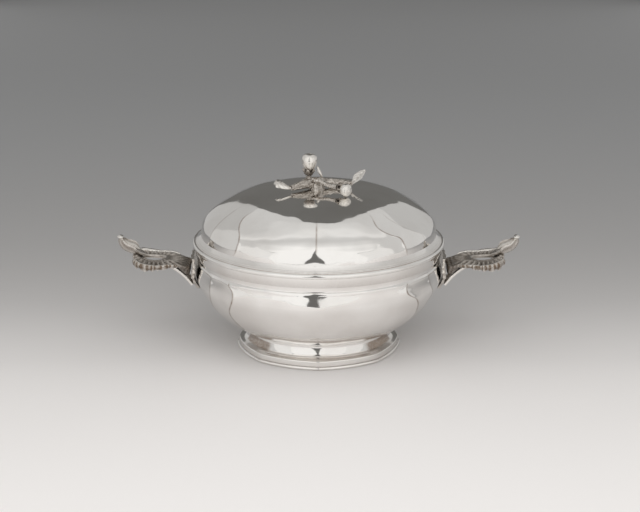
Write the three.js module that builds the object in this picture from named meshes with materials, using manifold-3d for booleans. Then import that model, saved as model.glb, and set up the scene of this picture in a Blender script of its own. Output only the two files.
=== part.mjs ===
// A covered two-handled silver bowl of European form: a panelled bowl on a spreading foot, two cast
// ear handles, and a domed lid whose finial is a cast twig with buds and leaves.
// Millimetres, +Z up, the foot stands on z = 0, the handles lie along X and the front faces -Y.
import * as THREE from "three";
import { mergeVertices } from "three/addons/utils/BufferGeometryUtils.js";
import Module from "manifold-3d";

const wasm = await Module();
wasm.setup();

// Fits
const SEAT_GAP = 0.3; // between pieces that are soldered or rest on each other
const LID_PLAY = 0.4; // between the lid's locating ring and the bowl's mouth, on the radius
const STUD_PLAY = 0.3; // between the finial's stud and the holes that it passes, on the radius
const EDGE_ROUND = 0.6; // on the outer edges of bands and wires

// Foot
const FOOT_HEIGHT = 16;
const FOOT_NECK_RADIUS = 49.5;
const FOOT_SPREAD = 9.3; // from the neck out to the bottom edge, on the radius
const FOOT_SHEET = 1.4;
const FOOT_WIRE_HEIGHT = 2.6; // the plain wire round the foot's bottom edge
const FOOT_WIRE_WIDTH = 2.4;
const FOOT_PANEL_DEPTH = 1.2; // how far a panel's middle lies inside its corners
const FOOT_STEP = 0.9; // ledge between the cove and the ovolo below it
const COLLAR_WIRE = 1.6; // half-round wire between foot and bowl

// Bowl
const NECK_RADIUS = 84.2;
const BELLY_SWELL = 4; // how far the fullest part stands out over the neck
const BELLY_RISE = 39; // from the foot's top to the fullest part
const SHOULDER_RISE = 12; // from the fullest part to the neck
const MOUTH_RISE = 8.5; // from the neck to the mouth
const BOWL_SHEET = 1.3;
const BOWL_BASE_DROP = 2.5; // the flat bottom lies this far below the foot's top
const BOWL_BASE_SHARE = 0.86; // flat bottom's radius as a share of the foot's neck
const BOWL_PANEL_DEPTH = 2.2; // of a 45 degree panel
const RIM_BAND_HEIGHT = 6.2;
const RIM_BAND_SHEET = 2.8;

// Lid
const FLANGE_OVERHANG = 2.2; // of the flange's edge over the bowl's rim band
const FLANGE_HEIGHT = 6.5; // from its underside to the dome's bottom edge
const FLANGE_EDGE_HEIGHT = 3.4;
const FLANGE_WIRE_WIDTH = 1.9;
const DOME_INSET = 0.8; // of the dome's foot inside the bowl's neck, on the radius
const DOME_WALL = 2.4; // upright part of the dome above the flange
const DOME_RISE = 30.8; // from the upright part to the crown
const DOME_SHEET = 1.2;
const DOME_PANEL_DEPTH = 2.3; // of a 45 degree panel
const BEZEL_DEPTH = 6.5;
const BEZEL_SHEET = 1;

// Handles
const HANDLE_REACH = 143.6; // from the middle of the bowl to a handle's tip
const EAR_DROP = 12; // from the bowl's mouth down to the ear's flat part
const TIP_RISE = 18.1; // from the ear's flat part up to the curled tip
const EAR_SHEET = 3;
const EAR_HALF_WIDTH = 17;
const EAR_PIERCING_LENGTH = 15;
const EAR_PIERCING_WIDTH = 12.5;
const BORDER_RADIUS = 1.7; // rolled border along the ear's two edges
const ROOT_SHEET = 2;
const ROOT_HALF_WIDTH = 19;
const ROOT_DROP = 7.1; // from the bowl's mouth down to the root leaf's upper edge
const ROOT_LENGTH = 25.4;
const STRAP_SHEET = 2.4;
const STRAP_HALF_WIDTH = 6.5;
const STRAP_DROP = 17; // from the ear's flat part down to the strap's lower end
const TIP_SHEET = 2.8;
const TIP_HALF_WIDTH = 6.2;

// Finial
const BRANCH_RADIUS = 2.1;
const TWIG_RADIUS = 1.4;
const BRANCH_REACH = 23; // from the middle of the lid to the branch's far end
const STALK_HEIGHT = 3;
const BUD_RADIUS = 5.5;
const BUD_HEIGHT = 14.6;
const SIDE_BUD_RADIUS = 4.2;
const SIDE_BUD_HEIGHT = 9.6;
const LEAF_SHEET = 1.3;
const LEAF_HALF_WIDTH = 3.2;
const LEAF_LENGTH = 12;
const TENDRIL_HALF_WIDTH = 1.9;
const TENDRIL_HEIGHT = 13;
const BOSS_RADIUS = 4.6;
const BOSS_HEIGHT = 1.2;
const STUD_RADIUS = 1.6;
const WASHER_RADIUS = 6.5;
const WASHER_SHEET = 0.9;
const NUT_RADIUS = 4.2;
const NUT_HEIGHT = 3;
const STUD_PROUD = 1.6; // the stud's end below the nut

// Radii and heights that follow from the sizes above
const FOOT_RADIUS = FOOT_NECK_RADIUS + FOOT_SPREAD;
const BELLY_RADIUS = NECK_RADIUS + BELLY_SWELL;
const RIM_BAND_RADIUS = NECK_RADIUS + SEAT_GAP + RIM_BAND_SHEET;
const FLANGE_RADIUS = RIM_BAND_RADIUS + FLANGE_OVERHANG;
const DOME_RADIUS = NECK_RADIUS - DOME_INSET;
const BELLY_Z = FOOT_HEIGHT + BELLY_RISE;
const NECK_Z = BELLY_Z + SHOULDER_RISE;
const MOUTH_Z = NECK_Z + MOUTH_RISE;
const FLANGE_Z = MOUTH_Z + SEAT_GAP;
const DOME_Z = FLANGE_Z + FLANGE_HEIGHT + SEAT_GAP;
const DOME_SPRING_Z = DOME_Z + DOME_WALL;
const CROWN_Z = DOME_SPRING_Z + DOME_RISE;
const STUD_HOLE_RADIUS = STUD_RADIUS + STUD_PLAY;
const EAR_Z = MOUTH_Z - EAR_DROP;
const TIP_Z = EAR_Z + TIP_RISE;
const ROOT_TOP_Z = MOUTH_Z - ROOT_DROP;
const STRAP_Z = EAR_Z - STRAP_DROP;

// Ridges between the panels of bowl and lid, over half a turn from the front: the azimuth in degrees,
// and how far the ridge sweeps round on its way over the dome and down the bowl.
const RIDGES = [
  { at: 0, domeSweep: 0, bowlSweep: 0 },
  { at: 45, domeSweep: -10, bowlSweep: 9 },
  { at: 65, domeSweep: -15, bowlSweep: 4 },
  { at: 90, domeSweep: -8, bowlSweep: 0 },
  { at: 115, domeSweep: -3, bowlSweep: 0 },
  { at: 135, domeSweep: -6, bowlSweep: -3 },
  { at: 180, domeSweep: 0, bowlSweep: 0 },
];
const HALF_TURN = 180;
const WIDE_PANEL = 45;
const LOBED_SEGMENTS = 72; // a column of corners on every ridge
const ROUND_SEGMENTS = 48;
const FOOT_PANELS = 8;

// Colours and finishes
const SILVER = { color: 0xd9d5cd, roughness: 0.16, metalness: 1 };
const CAST_SILVER = { color: 0xc9c3b8, roughness: 0.3, metalness: 1 };
const CHASED_SILVER = { color: 0x8f877a, roughness: 0.45, metalness: 1 };

const ecuelle = new THREE.Group();

function addMesh(name, geometry, finish, parent = ecuelle) {
  const mesh = new THREE.Mesh(geometry, new THREE.MeshStandardMaterial(finish));
  mesh.name = name;
  parent.add(mesh);
  return mesh;
}

const lerp = THREE.MathUtils.lerp;
const smoothstep = THREE.MathUtils.smoothstep;

// A value eased between the rows of [place, value] pairs.
function eased(rows, place) {
  const next = rows.findIndex((row) => row[0] > place);
  if (next === 0) return rows[0][1];
  if (next < 0) return rows.at(-1)[1];
  const [before, after] = [rows[next - 1], rows[next]];
  return lerp(before[1], after[1], smoothstep(place, before[0], after[0]));
}

// The panel that an azimuth lies in: its width, how far across it the azimuth lies, and its sweep.
function panelAt(degrees, sweepName) {
  const turned = THREE.MathUtils.euclideanModulo(degrees + 1e-6, HALF_TURN);
  const next = RIDGES.findIndex((ridge) => ridge.at > turned);
  const [from, to] = [RIDGES[next - 1], RIDGES[next]];
  const width = to.at - from.at;
  const across = (turned - from.at) / width;
  return { width, across, sweep: lerp(from[sweepName], to[sweepName], across) };
}

// How far the panelled wall lies inside its ridges, 0 on a ridge and deepest in a panel's middle.
function panelInset(panel, depth) {
  const middle = depth * (panel.width / WIDE_PANEL) ** 2;
  return 4 * middle * panel.across * (1 - panel.across);
}

// Points of an outline moved inwards by a sheet's thickness, for a wall's inner side.
function insideOf(outline, thickness) {
  return outline.map((point, i) => {
    const before = outline[Math.max(i - 1, 0)];
    const after = outline[Math.min(i + 1, outline.length - 1)];
    const along = after.clone().sub(before).normalize();
    return new THREE.Vector2(point.x - along.y * thickness, point.y + along.x * thickness);
  });
}

// A ring or shell turned about the upright axis from [radius, height] points that close on themselves.
function turned(points, segments) {
  const outline = points.map((p) => (p.isVector2 ? p : new THREE.Vector2(...p)));
  const geometry = new THREE.LatheGeometry([...outline, outline[0].clone()], segments);
  return geometry.rotateX(Math.PI / 2);
}

// Moves each corner of a turned shell by reshape(radius, z, degrees), which gives radius and degrees.
function reshaped(geometry, reshape) {
  const at = geometry.getAttribute("position");
  for (let i = 0; i < at.count; i += 1) {
    const radius = Math.hypot(at.getX(i), at.getY(i));
    const degrees = THREE.MathUtils.radToDeg(Math.atan2(at.getX(i), -at.getY(i)));
    const made = reshape(radius, at.getZ(i), degrees);
    const azimuth = THREE.MathUtils.degToRad(made.degrees);
    at.setXY(i, made.radius * Math.sin(azimuth), -made.radius * Math.cos(azimuth));
  }
  return geometry;
}

// Bowl

// The bowl's radius on its ridges at a height between the foot's top and the neck.
function bellyRadius(z) {
  if (z >= BELLY_Z) {
    const rise = Math.min((z - BELLY_Z) / SHOULDER_RISE, 1);
    return NECK_RADIUS + (BELLY_RADIUS - NECK_RADIUS) * Math.sqrt(1 - rise ** 2);
  }
  const rise = Math.max((z - FOOT_HEIGHT) / BELLY_RISE, 0);
  return lerp(FOOT_NECK_RADIUS, BELLY_RADIUS, (1 - (1 - rise) ** 1.45) ** (1 / 1.5));
}

// The panels fade out into the round neck and are shallower above the foot.
function bowlPanelDepth(z) {
  const fade = 1 - smoothstep(z, lerp(BELLY_Z, NECK_Z, 0.4), NECK_Z);
  return BOWL_PANEL_DEPTH * fade * lerp(0.5, 1, smoothstep(z, FOOT_HEIGHT, BELLY_Z));
}

// The ridges sweep most half way down the bowl and come back towards the foot.
function bowlSweepShare(z) {
  const down = THREE.MathUtils.clamp((BELLY_Z + 0.25 * SHOULDER_RISE - z) / BELLY_RISE, 0, 1);
  return Math.sin(Math.PI * down);
}

function bowlWall(radius, z, degrees) {
  const panel = panelAt(degrees, "bowlSweep");
  return {
    radius: radius - panelInset(panel, bowlPanelDepth(z)) * Math.min(radius / FOOT_NECK_RADIUS, 1),
    degrees: degrees + panel.sweep * bowlSweepShare(z),
  };
}

// The bowl's outside radius at a height, on the middle line of a handle's side.
function bowlRadiusBesideHandle(z, y) {
  const degrees = 90 + THREE.MathUtils.radToDeg(Math.asin(y / BELLY_RADIUS));
  return bowlWall(bellyRadius(z), z, degrees).radius;
}

// Height of the bowl's underside at a radius between its flat bottom and the foot's neck.
function baseHeight(radius) {
  const flat = FOOT_NECK_RADIUS * BOWL_BASE_SHARE;
  return FOOT_HEIGHT - BOWL_BASE_DROP * (1 - (radius - flat) / (FOOT_NECK_RADIUS - flat));
}

function bowlBody() {
  const base = FOOT_HEIGHT - BOWL_BASE_DROP;
  const rises = [0, 0.09, 0.26, 0.5, 0.76, 1];
  const belly = rises.map((rise) => new THREE.Vector2(bellyRadius(lerp(FOOT_HEIGHT, BELLY_Z, rise)),
    lerp(FOOT_HEIGHT, BELLY_Z, rise)));
  const shoulder = [0.6, 0.9, 1].map((rise) => new THREE.Vector2(
    bellyRadius(lerp(BELLY_Z, NECK_Z, rise)), lerp(BELLY_Z, NECK_Z, rise)));
  const outside = [
    new THREE.Vector2(FOOT_NECK_RADIUS * BOWL_BASE_SHARE, base), ...belly, ...shoulder];
  const inside = insideOf(outside.slice(0, -1), BOWL_SHEET);
  const innerMouth = NECK_RADIUS - BOWL_SHEET;
  const wall = [
    new THREE.Vector2(0, base), ...outside,
    new THREE.Vector2(NECK_RADIUS, MOUTH_Z),
    new THREE.Vector2(innerMouth, MOUTH_Z),
    new THREE.Vector2(innerMouth, NECK_Z),
    ...inside.reverse(),
    new THREE.Vector2(0, base + BOWL_SHEET),
  ];
  const geometry = new THREE.LatheGeometry(wall, LOBED_SEGMENTS).rotateX(Math.PI / 2);
  addMesh("bowl_body", reshaped(geometry, bowlWall), SILVER);
}

function rimBand() {
  const inner = NECK_RADIUS + SEAT_GAP;
  const foot = MOUTH_Z - RIM_BAND_HEIGHT;
  addMesh("bowl_rim_band", turned([
    [inner, foot],
    [RIM_BAND_RADIUS - EDGE_ROUND, foot],
    [RIM_BAND_RADIUS, foot + EDGE_ROUND],
    [RIM_BAND_RADIUS, MOUTH_Z],
    [inner, MOUTH_Z],
  ], ROUND_SEGMENTS), SILVER);
}

// Foot

// A panelled foot: eight corners, with straighter sides between them.
function footWall(radius, z, degrees) {
  const across = THREE.MathUtils.euclideanModulo(degrees / (360 / FOOT_PANELS), 1);
  const spread = smoothstep(radius, FOOT_NECK_RADIUS - 2 * FOOT_SHEET, FOOT_RADIUS);
  return { radius: radius - 4 * FOOT_PANEL_DEPTH * spread * across * (1 - across), degrees };
}

function foot() {
  const neck = FOOT_NECK_RADIUS - COLLAR_WIRE;
  const top = baseHeight(neck - FOOT_SHEET) - SEAT_GAP;
  const wireTop = FOOT_WIRE_HEIGHT + SEAT_GAP;
  const coveTop = new THREE.Vector2(neck, top);
  const coveFoot = new THREE.Vector2(
    lerp(FOOT_NECK_RADIUS, FOOT_RADIUS, 0.5), lerp(wireTop, top, 0.36));
  const coveBend = new THREE.Vector2(lerp(coveTop.x, coveFoot.x, 0.25), coveFoot.y);
  const cove = new THREE.QuadraticBezierCurve(coveTop, coveBend, coveFoot).getPoints(3);
  const edge = new THREE.Vector2(FOOT_RADIUS - 0.5 * FOOT_WIRE_WIDTH, wireTop);
  const step = new THREE.Vector2(coveFoot.x + FOOT_STEP, coveFoot.y - 0.55 * FOOT_STEP);
  const ovolo = new THREE.Vector2(lerp(step.x, edge.x, 0.72), lerp(step.y, edge.y, 0.36));
  const skin = [...cove, step, ovolo, edge];
  const inner = insideOf(skin, -FOOT_SHEET);
  inner[0].y = top;
  inner.at(-1).y = wireTop;
  addMesh("foot_ring", reshaped(turned([...skin.reverse(), ...inner], ROUND_SEGMENTS), footWall),
    SILVER);
}

function footWires() {
  const inner = FOOT_RADIUS - FOOT_WIRE_WIDTH;
  addMesh("foot_base_wire", reshaped(turned([
    [inner, 0],
    [FOOT_RADIUS - EDGE_ROUND, 0],
    [FOOT_RADIUS, EDGE_ROUND],
    [FOOT_RADIUS, FOOT_WIRE_HEIGHT - EDGE_ROUND],
    [FOOT_RADIUS - EDGE_ROUND, FOOT_WIRE_HEIGHT],
    [inner, FOOT_WIRE_HEIGHT],
  ], ROUND_SEGMENTS), footWall), SILVER);
  const neck = FOOT_NECK_RADIUS - COLLAR_WIRE + SEAT_GAP;
  const collarTop = baseHeight(neck) - 1.5 * SEAT_GAP;
  addMesh("foot_collar_wire", turned([
    [neck + 0.4 * COLLAR_WIRE, collarTop - COLLAR_WIRE],
    [FOOT_NECK_RADIUS + 0.5 * COLLAR_WIRE, collarTop - COLLAR_WIRE],
    [FOOT_NECK_RADIUS + COLLAR_WIRE, collarTop - 0.4 * COLLAR_WIRE],
    [FOOT_NECK_RADIUS + 0.6 * COLLAR_WIRE, baseHeight(FOOT_NECK_RADIUS) - SEAT_GAP],
    [neck, collarTop],
  ], ROUND_SEGMENTS), SILVER);
}

// Lid

// The dome's radius on its ridges at a height above its upright part.
const DOME_OUTLINE = new THREE.SplineCurve([
  [1, 0], [0.988, 0.13], [0.957, 0.26], [0.9, 0.415], [0.812, 0.585],
  [0.684, 0.755], [0.534, 0.885], [0.36, 0.963], [0.168, 0.994],
].map(([radius, rise]) => new THREE.Vector2(radius * DOME_RADIUS, DOME_SPRING_Z + rise * DOME_RISE)));

// The panels are shallow at the flange, deepest on the shoulder, and fade into the smooth crown.
function domePanelDepth(z) {
  const rise = (z - DOME_Z) / (CROWN_Z - DOME_Z);
  return DOME_PANEL_DEPTH * lerp(0.2, 1, smoothstep(rise, 0.08, 0.3)) * (1 - smoothstep(rise, 0.62, 0.92));
}

function domeWall(radius, z, degrees) {
  const panel = panelAt(degrees, "domeSweep");
  const rise = (z - DOME_Z) / (CROWN_Z - DOME_Z);
  return {
    radius: radius - panelInset(panel, domePanelDepth(z)),
    degrees: degrees + panel.sweep * smoothstep(rise, 0.32, 0.72),
  };
}

function lidDome() {
  const wall = DOME_OUTLINE.getPoints(7);
  const outside = [
    new THREE.Vector2(DOME_RADIUS, DOME_Z), ...wall, new THREE.Vector2(STUD_HOLE_RADIUS, CROWN_Z)];
  const inside = insideOf(outside, DOME_SHEET);
  inside[0].y = DOME_Z;
  inside.at(-1).set(STUD_HOLE_RADIUS, CROWN_Z - DOME_SHEET);
  addMesh("lid_dome", reshaped(turned([...outside, ...inside.reverse()], LOBED_SEGMENTS), domeWall),
    SILVER);
}

function lidFlange() {
  const inner = NECK_RADIUS - BOWL_SHEET - LID_PLAY - BEZEL_SHEET;
  const outer = FLANGE_RADIUS - FLANGE_WIRE_WIDTH - SEAT_GAP;
  const top = FLANGE_Z + FLANGE_HEIGHT;
  const shelf = FLANGE_Z + FLANGE_EDGE_HEIGHT;
  addMesh("lid_flange", turned([
    [inner, FLANGE_Z],
    [outer, FLANGE_Z],
    [outer, shelf - 0.5 * EDGE_ROUND],
    [lerp(outer, DOME_RADIUS, 0.3), shelf],
    [lerp(outer, DOME_RADIUS, 0.36), lerp(shelf, top, 0.28)],
    [lerp(outer, DOME_RADIUS, 0.68), lerp(shelf, top, 0.42)],
    [DOME_RADIUS, top],
    [inner, top],
  ], ROUND_SEGMENTS), SILVER);
  addMesh("lid_flange_wire", turned([
    [FLANGE_RADIUS - FLANGE_WIRE_WIDTH, FLANGE_Z],
    [FLANGE_RADIUS - EDGE_ROUND, FLANGE_Z],
    [FLANGE_RADIUS, FLANGE_Z + EDGE_ROUND],
    [FLANGE_RADIUS, shelf - EDGE_ROUND],
    [FLANGE_RADIUS - EDGE_ROUND, shelf],
    [FLANGE_RADIUS - FLANGE_WIRE_WIDTH, shelf],
  ], ROUND_SEGMENTS), SILVER);
}

function lidBezel() {
  const outer = NECK_RADIUS - BOWL_SHEET - LID_PLAY;
  const top = FLANGE_Z - SEAT_GAP;
  addMesh("lid_bezel", turned([
    [outer - BEZEL_SHEET, top - BEZEL_DEPTH],
    [outer - 0.3 * BEZEL_SHEET, top - BEZEL_DEPTH],
    [outer, top - BEZEL_DEPTH + BEZEL_SHEET],
    [outer, top],
    [outer - BEZEL_SHEET, top],
  ], ROUND_SEGMENTS), SILVER);
}

// Cast pieces

// A tube with a constant round section along a smooth curve through points.
function tube(points, radius, steps, sides = 8) {
  const section = new THREE.Shape(Array.from({ length: sides }, (_, i) => new THREE.Vector2(
    radius * Math.cos((2 * Math.PI * i) / sides), radius * Math.sin((2 * Math.PI * i) / sides))));
  const path = new THREE.CatmullRomCurve3(points);
  return new THREE.ExtrudeGeometry(section, { steps, bevelEnabled: false, extrudePath: path });
}

// A thin plate bent by place(along, across, through), with along 0 to 1, across and through -1 to 1.
function plate(lengthSteps, widthSteps, place) {
  const geometry = new THREE.BoxGeometry(1, 2, 2, lengthSteps, widthSteps, 1);
  const at = geometry.getAttribute("position");
  for (let i = 0; i < at.count; i += 1) {
    at.setXYZ(i, ...place(at.getX(i) + 0.5, at.getY(i), at.getZ(i)).toArray());
  }
  geometry.deleteAttribute("normal");
  geometry.deleteAttribute("uv");
  return mergeVertices(geometry, 1e-4);
}

// A leaf or strap of given half width along a curve in the XZ plane, its sheet square to the curve.
function strip(curve, halfWidth, sheet, lengthSteps, widthSteps) {
  return plate(lengthSteps, widthSteps, (along, across, through) => {
    const middle = curve.getPoint(along);
    const heading = curve.getTangent(along);
    const lift = new THREE.Vector3(-heading.z, 0, heading.x).multiplyScalar((through * sheet) / 2);
    return middle.add(lift).setY(across * halfWidth(along));
  });
}

function solidOf(geometry) {
  const positions = new THREE.BufferGeometry();
  const source = geometry.index ? geometry.toNonIndexed() : geometry;
  positions.setAttribute("position", source.getAttribute("position").clone());
  const merged = mergeVertices(positions, 1e-4);
  return new wasm.Manifold(new wasm.Mesh({
    numProp: 3,
    vertProperties: new Float32Array(merged.getAttribute("position").array),
    triVerts: new Uint32Array(merged.index.array),
  }));
}

function geometryOf(solid) {
  const mesh = solid.getMesh();
  return new THREE.BufferGeometry()
    .setAttribute("position", new THREE.BufferAttribute(new Float32Array(mesh.vertProperties), 3))
    .setIndex(new THREE.BufferAttribute(new Uint32Array(mesh.triVerts), 1));
}

// Handles

// Half width of the ear from the root to the curled end, as a share of its widest part.
const EAR_OUTLINE = [[0, 0.8], [0.18, 0.7], [0.4, 0.86], [0.6, 1], [0.8, 0.97], [0.92, 0.72], [1, 0.42]];
const EAR_END = 0.78; // where the flat ear ends, as a share of the way from bowl to tip

function handleSizes() {
  const rootFace = bowlRadiusBesideHandle(BELLY_Z, 0) + SEAT_GAP + ROOT_SHEET;
  const earStart = rootFace + SEAT_GAP + 0.2 * EAR_SHEET; // room for the ear's sloping end
  const reach = HANDLE_REACH - earStart;
  const x = (share) => earStart + share * reach;
  const spine = new THREE.CatmullRomCurve3([
    new THREE.Vector3(x(0), 0, EAR_Z - EAR_SHEET),
    new THREE.Vector3(x(0.12), 0, EAR_Z - 0.47 * EAR_SHEET),
    new THREE.Vector3(x(0.26), 0, EAR_Z + 0.02 * TIP_RISE),
    new THREE.Vector3(x(0.45), 0, EAR_Z),
    new THREE.Vector3(x(0.62), 0, EAR_Z + 0.055 * TIP_RISE),
    new THREE.Vector3(x(EAR_END), 0, EAR_Z + 0.23 * TIP_RISE),
  ]);
  return { rootFace, reach, x, spine };
}

function earHalfWidth(along) {
  return EAR_HALF_WIDTH * eased(EAR_OUTLINE, along);
}

function ear(sizes) {
  const flat = solidOf(strip(sizes.spine, earHalfWidth, EAR_SHEET, 18, 6));
  const opening = new THREE.Shape();
  opening.absellipse(0, 0, EAR_PIERCING_LENGTH / 2, EAR_PIERCING_WIDTH / 2, 0, 2 * Math.PI);
  const tool = new THREE.ExtrudeGeometry(opening, { depth: EAR_Z, bevelEnabled: false, curveSegments: 8 });
  tool.translate(sizes.x(0.5), 0, EAR_Z / 2);
  return geometryOf(flat.subtract(solidOf(tool)));
}

// The leaf that lies on the bowl's side, where the ear and the strap are soldered on.
function rootLeaf() {
  const outline = [[0, 0.2], [0.3, 0.55], [0.7, 1], [1, 0.86]];
  return plate(6, 6, (along, across, through) => {
    const z = ROOT_TOP_Z - ROOT_LENGTH * (1 - along);
    const y = -across * ROOT_HALF_WIDTH * eased(outline, along);
    const out = SEAT_GAP + (ROOT_SHEET * (1 + through)) / 2;
    const belly = z < BELLY_Z ? bowlRadiusBesideHandle(z, y) : bowlRadiusBesideHandle(BELLY_Z, y);
    return new THREE.Vector3(Math.sqrt((belly + out) ** 2 - y ** 2), y, z);
  });
}

// A rolled border beside one edge of the ear.
function border(sizes, side) {
  const edge = (along) => sizes.spine.getPoint(along).setY(earHalfWidth(along));
  const points = [0.28, 0.4, 0.52, 0.64, 0.76, 0.86, 0.93].map((along) => {
    const heading = edge(along + 0.03).sub(edge(along - 0.03));
    const outward = new THREE.Vector3(-heading.y, heading.x, 0).normalize();
    const middle = edge(along).addScaledVector(outward, 2 * SEAT_GAP + BORDER_RADIUS);
    return middle.setY(side * middle.y);
  });
  return tube(points, BORDER_RADIUS, 16, 7);
}

// The leaf on the ear's upper side that runs on and curls up into the handle's tip.
function tipLeaf(sizes) {
  const lift = (EAR_SHEET + TIP_SHEET) / 2 + SEAT_GAP;
  const onEar = (along, rise) => (
    sizes.spine.getPoint(along).add(new THREE.Vector3(0, 0, lift + rise * TIP_SHEET)));
  const top = HANDLE_REACH - TIP_SHEET / 2;
  const end = sizes.spine.getPoint(1);
  const curl = new THREE.CatmullRomCurve3([
    onEar(0.8, 0.04),
    onEar(0.9, 0.07),
    onEar(1, 0.2),
    new THREE.Vector3(lerp(end.x, top, 0.62), 0, lerp(end.z + lift, TIP_Z, 0.38)),
    new THREE.Vector3(lerp(end.x, top, 0.92), 0, lerp(end.z + lift, TIP_Z, 0.7)),
    new THREE.Vector3(top, 0, TIP_Z),
  ]);
  const outline = [[0, 0.35], [0.25, 0.9], [0.5, 1], [0.8, 0.6], [1, 0.3]];
  return strip(curl, (along) => TIP_HALF_WIDTH * eased(outline, along), TIP_SHEET, 12, 4);
}

// The scrolled strap from the bowl's belly to the ear's underside.
function strap(sizes) {
  const under = EAR_Z - EAR_SHEET / 2 - SEAT_GAP - STRAP_SHEET / 2;
  const start = bowlRadiusBesideHandle(STRAP_Z, 0) + 2 * SEAT_GAP + ROOT_SHEET + STRAP_SHEET / 2;
  const curve = new THREE.CatmullRomCurve3([
    new THREE.Vector3(start + 0.25 * STRAP_SHEET, 0, STRAP_Z),
    new THREE.Vector3(lerp(start, sizes.x(0.3), 0.3), 0, lerp(STRAP_Z, under, 0.42)),
    new THREE.Vector3(lerp(start, sizes.x(0.3), 0.68), 0, lerp(STRAP_Z, under, 0.8)),
    new THREE.Vector3(sizes.x(0.3), 0, under),
    new THREE.Vector3(sizes.x(0.4), 0, under - 0.33 * STRAP_SHEET),
    new THREE.Vector3(sizes.x(0.46), 0, under - 1.4 * STRAP_SHEET),
  ]);
  const outline = [[0, 0.7], [0.4, 0.9], [0.8, 1.2], [1, 0.8]];
  return strip(curve, (along) => STRAP_HALF_WIDTH * eased(outline, along), STRAP_SHEET, 12, 4);
}

function handle(side, turn) {
  const group = new THREE.Group();
  group.rotation.z = turn;
  ecuelle.add(group);
  const sizes = handleSizes();
  addMesh(`${side}_handle_ear`, ear(sizes), CHASED_SILVER, group);
  addMesh(`${side}_handle_root_leaf`, rootLeaf(), CHASED_SILVER, group);
  addMesh(`${side}_handle_front_border`, border(sizes, side === "right" ? -1 : 1), CAST_SILVER, group);
  addMesh(`${side}_handle_back_border`, border(sizes, side === "right" ? 1 : -1), CAST_SILVER, group);
  addMesh(`${side}_handle_tip_leaf`, tipLeaf(sizes), CAST_SILVER, group);
  addMesh(`${side}_handle_strap`, strap(sizes), CAST_SILVER, group);
}

// Finial

// A turned bud or nut whose axis runs from base along a direction, from [radius, distance] points.
function turnedAlong(name, outline, segments, base, direction, finish) {
  const points = outline.map(([radius, distance]) => new THREE.Vector2(radius, distance));
  const mesh = addMesh(name, new THREE.LatheGeometry(points, segments), finish);
  mesh.position.copy(base);
  mesh.quaternion.setFromUnitVectors(new THREE.Vector3(0, 1, 0), direction.clone().normalize());
}

const BUD_OUTLINE = [[0, 0], [0.62, 0.08], [0.95, 0.28], [1, 0.48], [0.8, 0.74], [0.42, 0.92], [0, 1]];
const CALYX_OUTLINE = [[0, 0], [0.42, 0.06], [0.66, 0.5], [0.72, 1], [0.62, 0.96], [0.42, 0.5], [0, 0.36]];

// A bud seated in its cup of sepals; the base is where the cup meets its stalk.
function budOnCalyx(name, base, direction, radius, height) {
  const axis = direction.clone().normalize();
  const cup = radius * 0.7;
  const seat = base.clone().addScaledVector(axis, 0.36 * cup + 1.6 * SEAT_GAP);
  turnedAlong(`${name}_calyx`, CALYX_OUTLINE.map(([r, t]) => [r * radius * 1.22, t * cup]), 10, base,
    axis, CHASED_SILVER);
  turnedAlong(name, BUD_OUTLINE.map(([r, t]) => [r * radius, t * height]), 12, seat, axis, CAST_SILVER);
}

// A pointed leaf along a smooth curve, its width lying along a given direction.
function leaf(name, points, halfWidth, widthAxis) {
  const curve = new THREE.CatmullRomCurve3(points);
  const outline = [[0, 0.22], [0.3, 0.6], [0.6, 1], [0.85, 0.7], [1, 0.12]];
  const made = plate(8, 2, (along, across, through) => {
    const heading = curve.getTangent(along);
    const side = widthAxis.clone().addScaledVector(heading, -widthAxis.dot(heading)).normalize();
    const up = heading.clone().cross(side);
    return curve.getPoint(along)
      .addScaledVector(side, across * halfWidth * eased(outline, along))
      .addScaledVector(up, (through * LEAF_SHEET) / 2);
  });
  addMesh(name, made, CAST_SILVER);
}

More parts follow.
